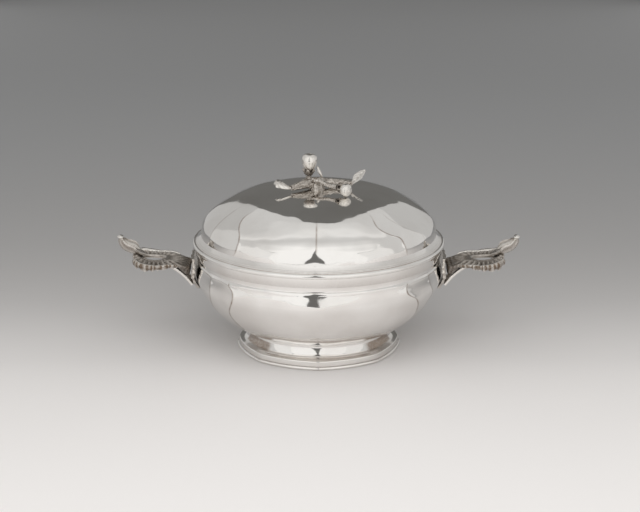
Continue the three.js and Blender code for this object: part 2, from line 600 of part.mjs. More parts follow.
function finial() {
  const bossTop = CROWN_Z + SEAT_GAP + BOSS_HEIGHT;
  const lie = bossTop + SEAT_GAP + BRANCH_RADIUS; // height of the branch over the boss
  const at = (x, y, rise) => new THREE.Vector3(x, y, rise)
    .multiplyScalar(BRANCH_REACH).add(new THREE.Vector3(0, 0, lie));
  addMesh("finial_branch", tube([
    at(-0.83, -0.37, -0.09), at(-0.54, -0.22, -0.03), at(-0.26, -0.05, 0), at(0.09, 0.07, 0),
    at(0.41, 0.2, -0.04), at(0.76, 0.21, -0.07), at(1, 0.07, -0.08)], BRANCH_RADIUS, 18),
  CHASED_SILVER);
  addMesh("finial_boss", turned([
    [STUD_HOLE_RADIUS, CROWN_Z + SEAT_GAP],
    [BOSS_RADIUS, CROWN_Z + SEAT_GAP],
    [BOSS_RADIUS - EDGE_ROUND, bossTop],
    [STUD_HOLE_RADIUS, bossTop],
  ], 16), CAST_SILVER);

  const stalkFoot = at(-0.28, -0.05, 0).add(new THREE.Vector3(0, 0, BRANCH_RADIUS + SEAT_GAP));
  const stalkTop = stalkFoot.clone().add(
    new THREE.Vector3(-0.2, 0.13, 1).multiplyScalar(STALK_HEIGHT));
  addMesh("finial_stalk", tube([stalkFoot, stalkTop], 0.85 * BRANCH_RADIUS, 2), CHASED_SILVER);
  const budAxis = new THREE.Vector3(0.06, 0.05, 1);
  budOnCalyx("finial_bud", stalkTop.clone().addScaledVector(budAxis, SEAT_GAP), budAxis, BUD_RADIUS,
    BUD_HEIGHT);

  const twigEnd = at(0.57, -0.67, 0.02);
  const sideAxis = new THREE.Vector3(0.74, -0.62, -0.1).normalize();
  addMesh("finial_twig", tube([
    at(-0.16, -0.15, 0.135), at(0.04, -0.29, 0.126), at(0.24, -0.45, 0.05), at(0.42, -0.57, 0.03),
    twigEnd], TWIG_RADIUS, 12), CHASED_SILVER);
  budOnCalyx("finial_side_bud", twigEnd.clone().addScaledVector(sideAxis, 1.3 * SEAT_GAP), sideAxis,
    SIDE_BUD_RADIUS, SIDE_BUD_HEIGHT);
  finialLeaves(at);
}

// The two leaves at the ends of the branch and the tendril that rises behind the bud.
function finialLeaves(at) {
  const from = (root, x, y, rise) => root.clone().addScaledVector(new THREE.Vector3(x, y, rise), LEAF_LENGTH);
  const acrossLevel = new THREE.Vector3(0, 1, 0.3);
  const leftRoot = at(-0.86, -0.39, -0.09);
  leaf("finial_left_leaf", [
    leftRoot, from(leftRoot, -0.32, -0.03, 0.13), from(leftRoot, -0.63, 0.04, 0.31),
    from(leftRoot, -0.98, 0.16, 0.23)], LEAF_HALF_WIDTH, acrossLevel);
  const rightRoot = at(1.035, 0.04, -0.065);
  leaf("finial_right_leaf", [
    rightRoot, from(rightRoot, 0.23, 0.06, 0.2), from(rightRoot, 0.52, 0.23, 0.46),
    from(rightRoot, 0.82, 0.34, 0.76)], LEAF_HALF_WIDTH, acrossLevel);
  const tendrilRoot = at(0.11, 0.07, 0).add(new THREE.Vector3(0, 0, BRANCH_RADIUS + 2 * SEAT_GAP));
  const rise = (x, y, z) => tendrilRoot.clone().addScaledVector(new THREE.Vector3(x, y, z), TENDRIL_HEIGHT);
  leaf("finial_tendril", [
    tendrilRoot, rise(-0.05, 0.02, 0.2), rise(-0.17, 0.04, 0.45), rise(-0.28, 0.04, 0.66)],
  TENDRIL_HALF_WIDTH, new THREE.Vector3(0.5, 0.4, -0.2));
}

// The stud, washer and nut that hold the finial from inside the lid.
function finialFixing() {
  const washerTop = CROWN_Z - DOME_SHEET - SEAT_GAP;
  const washerFoot = washerTop - WASHER_SHEET;
  const nutTop = washerFoot - SEAT_GAP;
  const nutFoot = nutTop - NUT_HEIGHT;
  const ring = (radius, foot, top, segments) => turned([
    [STUD_HOLE_RADIUS, foot], [radius, foot], [radius, top], [STUD_HOLE_RADIUS, top]], segments);
  addMesh("finial_washer", ring(WASHER_RADIUS, washerFoot, washerTop, 20), SILVER);
  addMesh("finial_nut", ring(NUT_RADIUS, nutFoot, nutTop, 6), SILVER);
  const stud = new THREE.CylinderGeometry(STUD_RADIUS, STUD_RADIUS, 1, 12).rotateX(Math.PI / 2);
  const top = CROWN_Z + SEAT_GAP + BOSS_HEIGHT;
  const foot = nutFoot - STUD_PROUD;
  stud.scale(1, 1, top - foot).translate(0, 0, (top + foot) / 2);
  addMesh("finial_stud", stud, SILVER);
}

bowlBody();
rimBand();
foot();
footWires();
lidDome();
lidFlange();
lidBezel();
handle("right", 0);
handle("left", Math.PI);
finial();
finialFixing();

export default ecuelle;
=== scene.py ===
"""Builds the look of a covered two-handled silver bowl on the moving parts of its CAD model."""
import math
from collections import namedtuple
from types import SimpleNamespace

import bmesh
import bpy
from mathutils import Matrix, Vector, noise


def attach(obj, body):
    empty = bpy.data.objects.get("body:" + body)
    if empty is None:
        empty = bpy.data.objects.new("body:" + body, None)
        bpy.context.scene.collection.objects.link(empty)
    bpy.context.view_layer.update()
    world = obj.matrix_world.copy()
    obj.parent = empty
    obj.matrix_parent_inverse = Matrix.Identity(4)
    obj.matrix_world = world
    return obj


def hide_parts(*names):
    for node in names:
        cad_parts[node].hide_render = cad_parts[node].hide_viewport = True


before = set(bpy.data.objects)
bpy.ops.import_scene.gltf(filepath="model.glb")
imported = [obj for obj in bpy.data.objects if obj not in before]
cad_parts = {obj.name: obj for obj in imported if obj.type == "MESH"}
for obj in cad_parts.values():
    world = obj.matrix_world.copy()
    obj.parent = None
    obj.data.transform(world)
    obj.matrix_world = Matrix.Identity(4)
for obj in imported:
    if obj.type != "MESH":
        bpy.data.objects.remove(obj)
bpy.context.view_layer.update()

bl_info = {
    "name": "Covered silver bowl",
    "version": (1, 0, 0),
    "blender": (4, 5, 0),
    "location": "3D View > Sidebar > Silver bowl",
    "description": "Builds the panelled bowl with its lid, handles and finial, and the light round it",
    "category": "Add Mesh",
}

MM = 0.001
TURN = 2 * math.pi
Y, Z = Vector((0, 1, 0)), Vector((0, 0, 1))


def length(name, description, millimetres):
    """A length in a group of sizes."""
    return bpy.props.FloatProperty(
        name=name, description=description, default=millimetres * MM, min=0.0, unit="LENGTH",
        precision=4)


def in_millimetres(group):
    """The lengths in a group of sizes, in millimetres."""
    return SimpleNamespace(**{
        name: getattr(group, name) / MM for name in type(group).__annotations__})


# Shapes worked out in millimetres


def clamp(value):
    """The value, kept between 0 and 1."""
    return min(max(value, 0.0), 1.0)


def lerp(a, b, share):
    """The value at a share of the way from a to b."""
    return a + (b - a) * share


def smoothstep(value, low, high):
    """A smooth step from 0 to 1 between two values."""
    share = clamp((value - low) / (high - low))
    return share * share * (3 - 2 * share)


def hump(value, middle, width):
    """A soft hump, 1 high at its middle."""
    return math.exp(-((value - middle) / width) ** 2)


def squared_sine(turn, power):
    """The sine of a turn with flatter tops, for a power under 1."""
    sine = math.sin(turn)
    return math.copysign(abs(sine) ** power, sine) if abs(sine) > 1e-9 else 0.0


def between(rows, place):
    """The value at a place on a smooth line through rows of (place, value)."""
    if place <= rows[0][0]:
        return rows[0][1]
    if place >= rows[-1][0]:
        return rows[-1][1]
    i = next(i for i, row in enumerate(rows) if row[0] > place) - 1
    (x0, y0), (x1, y1) = rows[i], rows[i + 1]
    before, after = rows[max(i - 1, 0)], rows[min(i + 2, len(rows) - 1)]
    m0 = (y1 - before[1]) / (x1 - before[0])
    m1 = (after[1] - y0) / (after[0] - x0)
    h = x1 - x0
    t = (place - x0) / h
    return ((2 * t ** 3 - 3 * t ** 2 + 1) * y0 + (t ** 3 - 2 * t ** 2 + t) * h * m0
            + (3 * t ** 2 - 2 * t ** 3) * y1 + (t ** 3 - t ** 2) * h * m1)


def on_curve(points, share):
    """A point on the smooth curve through points, which are at even shares."""
    last = len(points) - 1
    place = clamp(share) * last
    i = min(int(place), last - 1)
    p1, p2 = points[i], points[i + 1]
    p0 = points[i - 1] if i else 2 * p1 - p2
    p3 = points[i + 2] if i + 2 <= last else 2 * p2 - p1
    t1 = (p1 - p0).length ** 0.5
    t2 = t1 + (p2 - p1).length ** 0.5
    t3 = t2 + (p3 - p2).length ** 0.5
    t = lerp(t1, t2, place - i)
    middle = (t - t1) / (t2 - t1)
    a1, a2, a3 = p0.lerp(p1, t / t1), p1.lerp(p2, middle), p2.lerp(p3, (t - t2) / (t3 - t2))
    return a1.lerp(a2, t / t2).lerp(a2.lerp(a3, (t - t1) / (t3 - t1)), middle)


def heading_on(points, share):
    """The direction of the curve through points."""
    step = 0.002
    ahead, behind = on_curve(points, min(share + step, 1)), on_curve(points, max(share - step, 0))
    return (ahead - behind).normalized()


def frame_on(points, share, upright):
    """A point of the curve, with the directions across it and up from it."""
    heading = heading_on(points, share)
    across = heading.cross(upright).normalized()
    return on_curve(points, share), across, across.cross(heading).normalized()


def inside_of(outline, thickness):
    """The outline moved inwards by a sheet's thickness."""
    moved = []
    for i, (radius, z) in enumerate(outline):
        before, after = outline[max(i - 1, 0)], outline[min(i + 1, len(outline) - 1)]
        along = Vector((after[0] - before[0], after[1] - before[1])).normalized()
        moved.append((radius - along.y * thickness, z + along.x * thickness))
    return moved


# Meshes


def turned(outline, steps=360, closed=True):
    """A skin turned about the upright axis from (radius, height) points, starting at the front."""
    mesh = bmesh.new()
    corners = [mesh.verts.new((0, -radius, z)) for radius, z in outline]
    pairs = list(zip(corners, corners[1:])) + ([(corners[-1], corners[0])] if closed else [])
    edges = [mesh.edges.new(pair) for pair in pairs]
    bmesh.ops.spin(mesh, geom=corners + edges, cent=(0, 0, 0), axis=(0, 0, 1), angle=TURN, steps=steps,
                   use_merge=True)
    bmesh.ops.remove_doubles(mesh, verts=mesh.verts, dist=1e-4)
    return mesh


def tarnish_and_shade_layer(mesh):
    """The layer of how dark each corner is made: tarnish, and painted shade and highlights."""
    layers = mesh.verts.layers.float
    return layers.get("tarnish_and_shade") or layers.new("tarnish_and_shade")


def set_tarnish_and_shade(mesh, shade):
    """Adds shade(corner) to how dark each corner is made, by tarnish and painted shade."""
    layer = tarnish_and_shade_layer(mesh)
    for corner in mesh.verts:
        corner[layer] = clamp(corner[layer] + shade(corner.co))


def skin(along, around, place):
    """A closed skin, made of a grid whose sides meet.

    place(share along, share around) gives a corner's place and how dark it is made, by tarnish and
    painted shade.
    """
    mesh = bmesh.new()
    layer = tarnish_and_shade_layer(mesh)
    made = bmesh.ops.create_grid(mesh, x_segments=along, y_segments=around, size=0.5)["verts"]
    for corner in made:
        corner.co, tarnish_and_shade = place(clamp(corner.co.x + 0.5), clamp(corner.co.y + 0.5))
        corner[layer] = clamp(tarnish_and_shade)
    bmesh.ops.remove_doubles(mesh, verts=made, dist=1e-3)
    return mesh


def new_object(name, mesh, material):
    """An object in the scene, made of a mesh that is then let go."""
    data = bpy.data.meshes.new(name)
    mesh.to_mesh(data)
    mesh.free()
    data.materials.append(material)
    obj = bpy.data.objects.new(name, data)
    bpy.context.scene.collection.objects.link(obj)
    return obj


def add_piece(name, mesh, body, nodes, slot, sharp=38):
    """Makes the object, in metres, and ties it to the body that it moves with."""
    open_edges = [edge for edge in mesh.edges if edge.is_boundary]
    if open_edges:
        bmesh.ops.holes_fill(mesh, edges=open_edges, sides=0)
    bmesh.ops.recalc_face_normals(mesh, faces=mesh.faces)
    bmesh.ops.scale(mesh, vec=(MM, MM, MM), verts=mesh.verts)
    piece = new_object(name, mesh, finish(slot))
    piece.data.shade_smooth()
    piece.data.set_sharp_from_angle(angle=math.radians(sharp))
    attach(piece, body)
    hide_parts(*nodes)


# Finishes


def add_node(tree, kind, inputs=None, **settings):
    """A node with its inputs set, or linked where an output of another node is given."""
    node = tree.nodes.new(kind)
    for key, value in settings.items():
        setattr(node, key, value)
    for socket, value in (inputs or {}).items():
        if isinstance(value, bpy.types.NodeSocket):
            tree.links.new(value, node.inputs[socket])
        else:
            node.inputs[socket].default_value = value
    return node


def blank_material(name):
    """A material without nodes, and its node tree."""
    material = bpy.data.materials.new(name)
    material.use_nodes = True
    material.node_tree.nodes.clear()
    return material, material.node_tree


def add_noise(tree, place, scale, detail):
    """The output of a noise texture."""
    return add_node(tree, "ShaderNodeTexNoise", {
        "Vector": place, "Scale": scale, "Detail": detail}).outputs["Fac"]


def add_range(tree, value, first, last, low, high):
    """A value that goes from low to high while the input goes from first to last."""
    return add_node(tree, "ShaderNodeMapRange", {
        "Value": value, "From Min": first, "From Max": last, "To Min": low,
        "To Max": high}).outputs["Result"]


def add_maths(tree, kind, a, b, **settings):
    """The output of a maths node of a kind, such as ADD or MULTIPLY."""
    return add_node(tree, "ShaderNodeMath", {0: a, 1: b}, operation=kind, **settings).outputs[0]


def add_bump(tree, height, depth, **under):
    """A bumped normal, with its depth in metres."""
    return add_node(tree, "ShaderNodeBump", {
        "Height": height, "Strength": 1.0, "Distance": depth, **under}).outputs["Normal"]


def add_output(tree, shader):
    """The material's output, with its surface."""
    output = add_node(tree, "ShaderNodeOutputMaterial")
    tree.links.new(shader.outputs[0], output.inputs["Surface"])


FINISHES = {
    # clean colour, dark colour for tarnish and painted shade, roughness of clean and of darkened
    # metal, scale of the grain, depth of the grain in millimetres
    "polished_silver": ((0.935, 0.92, 0.90), (0.36, 0.29, 0.24), 0.055, 0.25, 700.0, 0.002),
    "cast_silver": ((0.91, 0.885, 0.845), (0.20, 0.15, 0.11), 0.13, 0.4, 900.0, 0.02),
    "chased_silver": ((0.80, 0.755, 0.70), (0.10, 0.075, 0.055), 0.22, 0.5, 1400.0, 0.05),
}
HAMMER_DEPTH = 0.035  # depth in millimetres of the planished marks


def finish(slot):
    """One of the three silver finishes, made the first time that it's asked for."""
    name = f"worn_and_shaded_{slot}"
    if name in bpy.data.materials:
        return bpy.data.materials[name]
    clean, dark_colour, smooth, rough, grain, grain_depth = FINISHES[slot]
    material, tree = blank_material(name)
    place = add_node(tree, "ShaderNodeTexCoord").outputs["Object"]
    speck = add_noise(tree, place, grain, 2.0)
    # The attribute read here mixes in the dark colour: tarnish in hollows, and painted shade, highlights
    # and reflections where the pieces set it.
    tarnish_and_shade = add_node(tree, "ShaderNodeAttribute", attribute_name="tarnish_and_shade").outputs["Fac"]
    held = add_maths(tree, "MULTIPLY", tarnish_and_shade, add_range(tree, speck, 0.3, 0.7, 0.75, 1.15))
    clouded = add_range(tree, add_noise(tree, place, 28.0, 4.0), 0.42, 0.68, 0.0, 0.14)
    darkening = add_maths(tree, "ADD", held, clouded, use_clamp=True)
    colour = add_node(tree, "ShaderNodeMix", {
        0: darkening, 6: (*clean, 1), 7: (*dark_colour, 1)}, data_type="RGBA").outputs[2]
    stretched = add_node(tree, "ShaderNodeMapping", {
        "Vector": place, "Scale": (1.0, 1.0, 7.0)}).outputs[0]
    wear = add_range(tree, add_noise(tree, stretched, 240.0, 5.0), 0.4, 0.75, 0.0, 0.035)
    roughness = add_maths(tree, "ADD", add_range(tree, darkening, 0.0, 1.0, smooth, rough), wear)
    hammered = add_bump(tree, add_noise(tree, place, 55.0, 1.0), HAMMER_DEPTH * MM)
    grained = add_bump(tree, speck, grain_depth * MM, Normal=hammered)
    add_output(tree, add_node(tree, "ShaderNodeBsdfPrincipled", {
        "Base Color": colour, "Metallic": 1.0, "Roughness": roughness, "Normal": grained}))
    return material


# Panels of bowl and lid

Ridge = namedtuple("Ridge", "azimuth softness line stray")
LID, BOWL = 0, 1  # places in the pairs below
# Ridges over half a turn from the front: the azimuth in degrees, and in pairs for lid and bowl how
# softly the ridge is rounded, how clearly its line shows, and how it strays sideways at heights.
RIDGES = tuple(Ridge(*row) for row in (
    (-1.1, (1.0, 6.5), (0.8, 0.0), (((80, 0), (120, 0)), ((16, 0), (70, 0)))),
    (45, (0.5, 0.7), (1.0, 1.0), (
        ((81, 2), (92, 0), (96, -1), (98, -4.5), (101, -8.5), (104, -10), (109, -8)),
        ((16, 4), (33, 12), (44, 9), (52, 5), (58, -1), (67, 0)))),
    (65, (2.5, 0.8), (0.25, 0.8), (
        ((85, -3.5), (93, -3.5), (97, -9), (102, -15), (106, -18)),
        ((16, 2), (44, -1), (49, 1), (58, -3), (67, -3)))),
    (90, (2.5, 0.8), (0.25, 0.8), (((85, 0), (93, -2), (106, -8)), ((16, 0), (67, 0)))),
    (115, (2.0, 0.8), (0.4, 0.8), (((85, 0), (93, 0), (106, -1)), ((16, 0), (40, 2), (52, 6), (62, 6)))),
    (135, (0.5, 0.7), (1.0, 1.0), (
        ((82, -0.5), (86, 2), (93, 3), (97, 1.5), (101, -3), (103, -5), (106, -6.5), (110, -5)),
        ((16, -2), (39, -3), (53, 3), (59, 3), (63, 0)))),
    (178.9, (1.0, 6.5), (0.8, 0.0), (((80, 0), (120, 0)), ((16, 0), (70, 0)))),
))
GATHER = 0.75  # how closely the columns of corners gather at the ridges
CREASE_WIDTH = 2.4
# Width of the dark line painted along each ridge: partly tarnish, partly a painted dark reflection on
# the crease.
DARK_LINE_WIDTH = 0.6
FULL_CREASE = 0.2  # height of a crease from which its painted dark line and the waves show in full
FRONT_RIDGE_STARTS = (90, 95)  # heights over which the lid's front ridge grows
PLAIN_SOFTNESS = 14  # how softly the front ridge is rounded below them
USUAL_WIDTH = 45  # width in degrees of the panel that the panel depth is given for
WAVES = 0.28  # how uneven the hand-raised panels are, in millimetres
HEART = Vector((0, 0, 70))


def column_of(place):
    """Azimuth in degrees of the column of corners that a turned skin's corner is in."""
    return round(math.degrees(math.atan2(place.x, -place.y)), 3) % 360


def gathered(across):
    """A share of a panel's width, drawn towards the nearer ridge."""
    return across - GATHER * math.sin(TURN * across) / TURN


def set_round(corner, radius, degrees):
    """Puts a corner at a radius and an azimuth, at the height that it has."""
    azimuth = math.radians(degrees)
    corner.co.x, corner.co.y = radius * math.sin(azimuth), -radius * math.cos(azimuth)


def panelled(mesh, which, depth_at, crease_at, share_of=lambda radius: 1.0):
    """Draws a turned skin in between the ridges of the lid or the bowl.

    A panel is hollowed by depth_at(z), and crease_at(z) is the height of the narrow line on each
    ridge. Both count for the share that share_of(radius) gives.
    """
    layer = tarnish_and_shade_layer(mesh)
    last = len(RIDGES) - 1
    at = [0, *(ridge.azimuth for ridge in RIDGES[1:-1]), 180]
    for corner in mesh.verts:
        radius = math.hypot(corner.co.x, corner.co.y)
        if radius < 1e-3:
            continue
        z = corner.co.z
        column = column_of(corner.co)
        half = 180 * (column // 180)
        i = next(i for i in range(last) if at[i] <= column - half < at[i + 1])
        first, second = RIDGES[i], RIDGES[i + 1]
        across = gathered((column - half - at[i]) / (at[i + 1] - at[i]))
        start = first.azimuth + between(first.stray[which], z)
        width = second.azimuth + between(second.stray[which], z) - start
        wide = math.radians(width) * radius
        plain = 1 - smoothstep(z, *FRONT_RIDGE_STARTS) if which == LID else 0.0
        drawn = 4 * depth_at(z) * (width / USUAL_WIDTH) ** 1.3
        flat, line = 1.0, 0.0
        for ridge, away, in_front in ((first, across, i == 0), (second, 1 - across, i == last - 1)):
            soft = lerp(ridge.softness[which], PLAIN_SOFTNESS, plain * in_front)
            shown = ridge.line[which] * (1 - plain * in_front)
            distance = math.hypot(away * wide, soft) - soft
            drawn *= distance / wide
            flat -= shown * math.exp(-distance / CREASE_WIDTH)
            line += shown * hump(away * wide, 0, DARK_LINE_WIDTH)
        crease, share = crease_at(z), share_of(radius)
        full = min(crease / FULL_CREASE, 1)
        set_round(corner, radius - (drawn + crease * flat) * share, half + start + across * width)
        lump = WAVES * noise.noise(corner.co * 0.055) + 0.35 * WAVES * noise.noise(corner.co * 0.13)
        corner.co += full * share * lump * (corner.co - HEART).normalized()
        # The ridge's dark line, painted partly as tarnish and partly as a dark reflection, made uneven.
        line *= 0.75 + 0.5 * noise.noise(corner.co * 0.2)
        corner[layer] = clamp(line * full) * (1 - smoothstep(z, 105, 110))


class BowlSizes(bpy.types.PropertyGroup):
    neck_radius: length("Neck radius", "Outside of the upright mouth", 84.2)
    swell: length("Swell", "How far the belly stands out over the neck", 4)
    belly_height: length("Belly height", "Height of the fullest part", 53.4)
    neck_height: length("Neck height", "Height at which the shoulder meets the neck", 65.5)
    mouth_height: length("Mouth height", "Height of the bowl's edge", 75.5)
    foot_radius: length("Foot radius", "Radius where the bowl meets its foot", 49.5)
    foot_height: length("Foot height", "Height at which the bowl meets its foot", 16)
    sheet: length("Sheet", "Thickness of the bowl's wall", 1.3)
    base_drop: length("Base drop", "Depth of the flat bottom inside the foot", 2.5)
    panel_depth: length("Panel depth", "How far a wide panel lies inside its ridges", 1.5)
    crease: length("Crease", "Height of the line along a ridge", 0.3)
    band_height: length("Band height", "Height of the band round the mouth", 6.2)
    band_sheet: length("Band thickness", "Thickness of the band round the mouth", 2.8)


SHOULDER = (  # share of the shoulder's rise, share of the swell
    (0, 1), (0.1, 0.995), (0.19, 0.979), (0.3, 0.945), (0.47, 0.85), (0.65, 0.725), (0.8, 0.628),
    (0.86, 0.593), (0.92, 0.545), (0.96, 0.46), (1, 0.27))


def belly_radius(sizes, z):
    """The outside of the bowl at a height, on its ridges."""
    neck, swell, belly, foot = sizes.neck_radius, sizes.swell, sizes.belly_height, sizes.foot_height
    if z >= belly:
        return neck + swell * between(SHOULDER, (z - belly) / (sizes.neck_height - belly))
    rise = max((z - foot) / (belly - foot), 0)
    return lerp(sizes.foot_radius, neck + swell, (1 - (1 - rise) ** 1.45) ** (1 / 1.5))


def bowl_shell(sizes):
    """The bowl's wall and flat bottom."""
    foot, belly, neck = sizes.foot_height, sizes.belly_height, sizes.neck_height
    mouth, radius, sheet = sizes.mouth_height, sizes.neck_radius, sizes.sheet
    base, flat = foot - sizes.base_drop, 0.86 * sizes.foot_radius
    heights = [lerp(foot, belly, (i / 40) ** 1.35) for i in range(41)]
    heights += [lerp(belly, neck, i / 24) for i in range(1, 25)]
    outside = [(flat, base), *((belly_radius(sizes, z), z) for z in heights)]
    lip = 0.3 * sheet
    collar = outside[-1][0] - 0.12
    under_band = mouth - sizes.band_height + 0.3
    mesh = turned([
        (0, base), (0.5 * flat, base), *outside, (collar, neck + 0.2), (collar, neck + 0.6),
        (collar, under_band - 0.4), (collar, under_band), (radius, under_band), (radius, mouth - lip),
        (radius - lip, mouth), (radius - sheet + lip, mouth), (radius - sheet, mouth - lip),
        (radius - sheet, neck), *reversed(inside_of(outside[:-1], sheet)), (0.5 * flat, base + sheet),
        (0, base + sheet)], closed=False)

    def depth(z):
        fade = 1 - smoothstep(z, belly + 1.1, neck)
        return sizes.panel_depth * fade * lerp(0.5, 1, smoothstep(z, foot, belly))

    def crease(z):
        return sizes.crease * smoothstep(z, foot, foot + 8) * (1 - smoothstep(z, neck - 3, neck))

    panelled(mesh, BOWL, depth, crease, lambda r: min(r / sizes.foot_radius, 1) ** 2)
    # Darker on the neck under the band, as painted shade from its overhang with some tarnish; a little
    # darker below the belly; and painted shade in the corner just above the foot.
    set_tarnish_and_shade(mesh, lambda co: (
        0.12 * smoothstep(co.z, neck, neck + 2.5) + 0.06 * smoothstep(-co.z, -53, -48)
        + 0.25 * smoothstep(-co.z, -19, -15)))
    return mesh


class ECUELLE_OT_bowl(bpy.types.Operator):
    """Add the panelled bowl and the band round its mouth"""
    bl_idname = "ecuelle.add_bowl"
    bl_label = "Bowl"

    def execute(self, context):
        sizes = in_millimetres(context.scene.ecuelle_bowl)
        add_piece("bowl_shell", bowl_shell(sizes), "bowl", ["bowl_body"], "polished_silver")
        inner, top = sizes.neck_radius + 0.3, sizes.mouth_height
        outer, low = inner + sizes.band_sheet, top - sizes.band_height
        band = turned([
            (inner - 0.2, low), (outer - 0.35, low), (outer, low + 0.45), (outer, top),
            (outer, top + 0.2), (inner, top + 0.2)])
        # Darker over the band's lowest 2.6 mm: painted shadow along its bottom edge, with some tarnish.
        set_tarnish_and_shade(band, lambda co: 0.02 + 0.24 * smoothstep(-co.z, -low - 2.6, -low))
        add_piece("rim_band", band, "bowl", ["bowl_rim_band"], "polished_silver")
        return {"FINISHED"}


class FootSizes(bpy.types.PropertyGroup):
    neck_radius: length("Neck radius", "Radius where the foot meets the bowl", 49.5)
    radius: length("Foot radius", "Outside of the bottom edge, on the corners", 58.8)
    height: length("Foot height", "Height of the foot's top", 15.1)
    sheet: length("Sheet", "Thickness of the foot's wall", 1.4)
    panel_depth: length("Panel depth", "How far a side lies inside its corners", 1.2)
    wire_height: length("Wire height", "Height of the wire round the bottom edge", 2.6)
    wire_width: length("Wire width", "Width of the wire round the bottom edge", 2.4)
    collar: length("Collar wire", "Size of the wire between foot and bowl", 1.6)


FOOT_SIDE = 45  # width in degrees of one side of the foot
FOOT_SOFTNESS = 0.8  # how softly the foot's corners are rounded


def foot_sides(mesh, sizes):
    """Draws a turned foot in between its eight corners."""
    for corner in mesh.verts:
        radius = math.hypot(corner.co.x, corner.co.y)
        column = column_of(corner.co)
        across = gathered((column / FOOT_SIDE) % 1)
        wide = math.radians(FOOT_SIDE) * radius
        near, far = ((math.hypot(share * wide, FOOT_SOFTNESS) - FOOT_SOFTNESS) / wide
                     for share in (across, 1 - across))
        spread = smoothstep(radius, sizes.neck_radius - 2 * sizes.sheet, sizes.radius)
        radius -= 4 * sizes.panel_depth * spread * near * far
        set_round(corner, radius, FOOT_SIDE * (column // FOOT_SIDE + across))


def foot_shade_and_reflection(place):
    """Painted shade in the cove's corner and low down by the wire, and a painted dark reflection of the
    floor on the cove's side panels.
    """
    bearing = abs((math.degrees(math.atan2(place.x, -place.y)) + 90) % 180 - 90)
    side = smoothstep(bearing, 40, 46) * (1 - smoothstep(bearing, 76, 80))
    return (0.05 + 0.12 * hump(place.z, 7, 0.5) + 0.22 * smoothstep(-place.z, -4.4, -3)
            + 0.85 * side * smoothstep(place.z, 7.2, 8.2) * (1 - smoothstep(place.z, 12.6, 13.4)))


class ECUELLE_OT_foot(bpy.types.Operator):
    """Add the panelled foot with its bottom wire and collar wire"""
    bl_idname = "ecuelle.add_foot"
    bl_label = "Foot"

    def execute(self, context):
        sizes = in_millimetres(context.scene.ecuelle_foot)
        top, sheet = sizes.height, sizes.sheet
        neck, outer = sizes.neck_radius, sizes.radius
        wire_top = sizes.wire_height + 0.1
        corners = [Vector((neck + out, z)) for out, z in (
            (-0.3, top), (-0.15, 13.6), (0.1, 12.5), (0.5, 11.3), (1.05, 10.1), (1.75, 9), (2.6, 8.05),
            (4.2, 7.3), (6.1, 6.75))]
        cove = [tuple(on_curve(corners, i / 48)) for i in range(49)]
        shelf, edge = neck + 7.0, 0.75
        rounded = [(shelf + edge * math.sin(t), 5.75 + edge * math.cos(t))
                   for t in (0.25 * TURN * i / 6 for i in range(7))]
        outline = [*cove, *rounded, (shelf + 0.8, 5.0), (shelf + 0.95, 4.0), (outer - 1.2, wire_top)]
        inner = [(outline[0][0] - sheet, top), *inside_of(outline, -sheet)[1:-1],
                 (outline[-1][0] - sheet, wire_top)]
        ring = turned([*reversed(outline), *inner])
        foot_sides(ring, sizes)
        set_tarnish_and_shade(ring, foot_shade_and_reflection)
        add_piece("foot_shell", ring, "bowl", ["foot_ring"], "polished_silver")

        middle = 0.5 * sizes.wire_height
        bead = [(outer - middle + middle * math.cos(t), middle + middle * math.sin(t))
                for t in (TURN * (i / 16 - 0.25) for i in range(9))]
        wire = turned([(outer - sizes.wire_width, 0), *bead, (outer - sizes.wire_width, 2 * middle)])
        foot_sides(wire, sizes)
        # Darker towards the wire's bottom: painted shadow where it meets the floor.
        set_tarnish_and_shade(wire, lambda co: 0.08 + 0.3 * smoothstep(-co.z, -0.8, 0))
        add_piece("foot_rim_wire", wire, "bowl", ["foot_base_wire"], "polished_silver")

        collar = sizes.collar
        round_wire = turned([
            (neck - 0.1 + 0.9 * collar * math.cos(t), top + 0.45 * collar + 0.5 * collar * math.sin(t))
            for t in (TURN * i / 16 for i in range(16))])
        add_piece("foot_collar", round_wire, "bowl", ["foot_collar_wire"], "polished_silver")
        return {"FINISHED"}


class LidSizes(bpy.types.PropertyGroup):
    dome_radius: length("Dome radius", "Outside of the dome at its foot", 83.4)
    dome_foot: length("Dome foot", "Height of the dome's bottom edge", 82.6)
    spring: length("Spring", "Height at which the dome starts to curve", 85)
    crown: length("Crown", "Height of the dome's top", 115.8)
    sheet: length("Sheet", "Thickness of the dome's wall", 1.2)
    panel_depth: length("Panel depth", "How far a wide panel lies inside its ridges", 1.3)
    crease: length("Crease", "Height of the line along a ridge", 0.32)
    hole: length("Stud hole", "Radius of the hole for the finial's stud", 1.9)
    edge_radius: length("Edge radius", "Outside of the lid's edge", 89.5)
    edge_foot: length("Edge foot", "Height of the edge's underside", 75.8)
    edge_height: length("Edge height", "Height of the lid's thick edge", 3.4)
    edge_wire: length("Edge wire", "Width of the wire round the edge", 1.9)
    flange_top: length("Flange top", "Height at which the edge meets the dome", 83.6)
    flange_inner: length("Flange inside", "Inner radius of the flange", 81.5)
    ring_depth: length("Ring depth", "Depth of the ring that drops into the bowl", 6.5)


DOME_OUTLINE = (  # share of the dome's radius, share of its rise
    (1, 0), (1, 0.018), (0.9998, 0.052), (0.9988, 0.088), (0.997, 0.124), (0.9934, 0.164),
    (0.988, 0.205), (0.9802, 0.246), (0.9706, 0.287), (0.9586, 0.329), (0.943, 0.374), (0.922, 0.426),
    (0.892, 0.488), (0.851, 0.562), (0.795, 0.655), (0.731, 0.747), (0.638, 0.844), (0.522, 0.916),
    (0.36, 0.964), (0.168, 0.994))
FLANGE_GROOVES = ((0.03, 0.12), (0.2, 0.05), (0.4, 0.04))  # share of the slope, depth
FLANGE_LINES = ((0.0, 0.35), (0.17, 0.15), (0.37, 0.1))  # share of the slope, tarnish


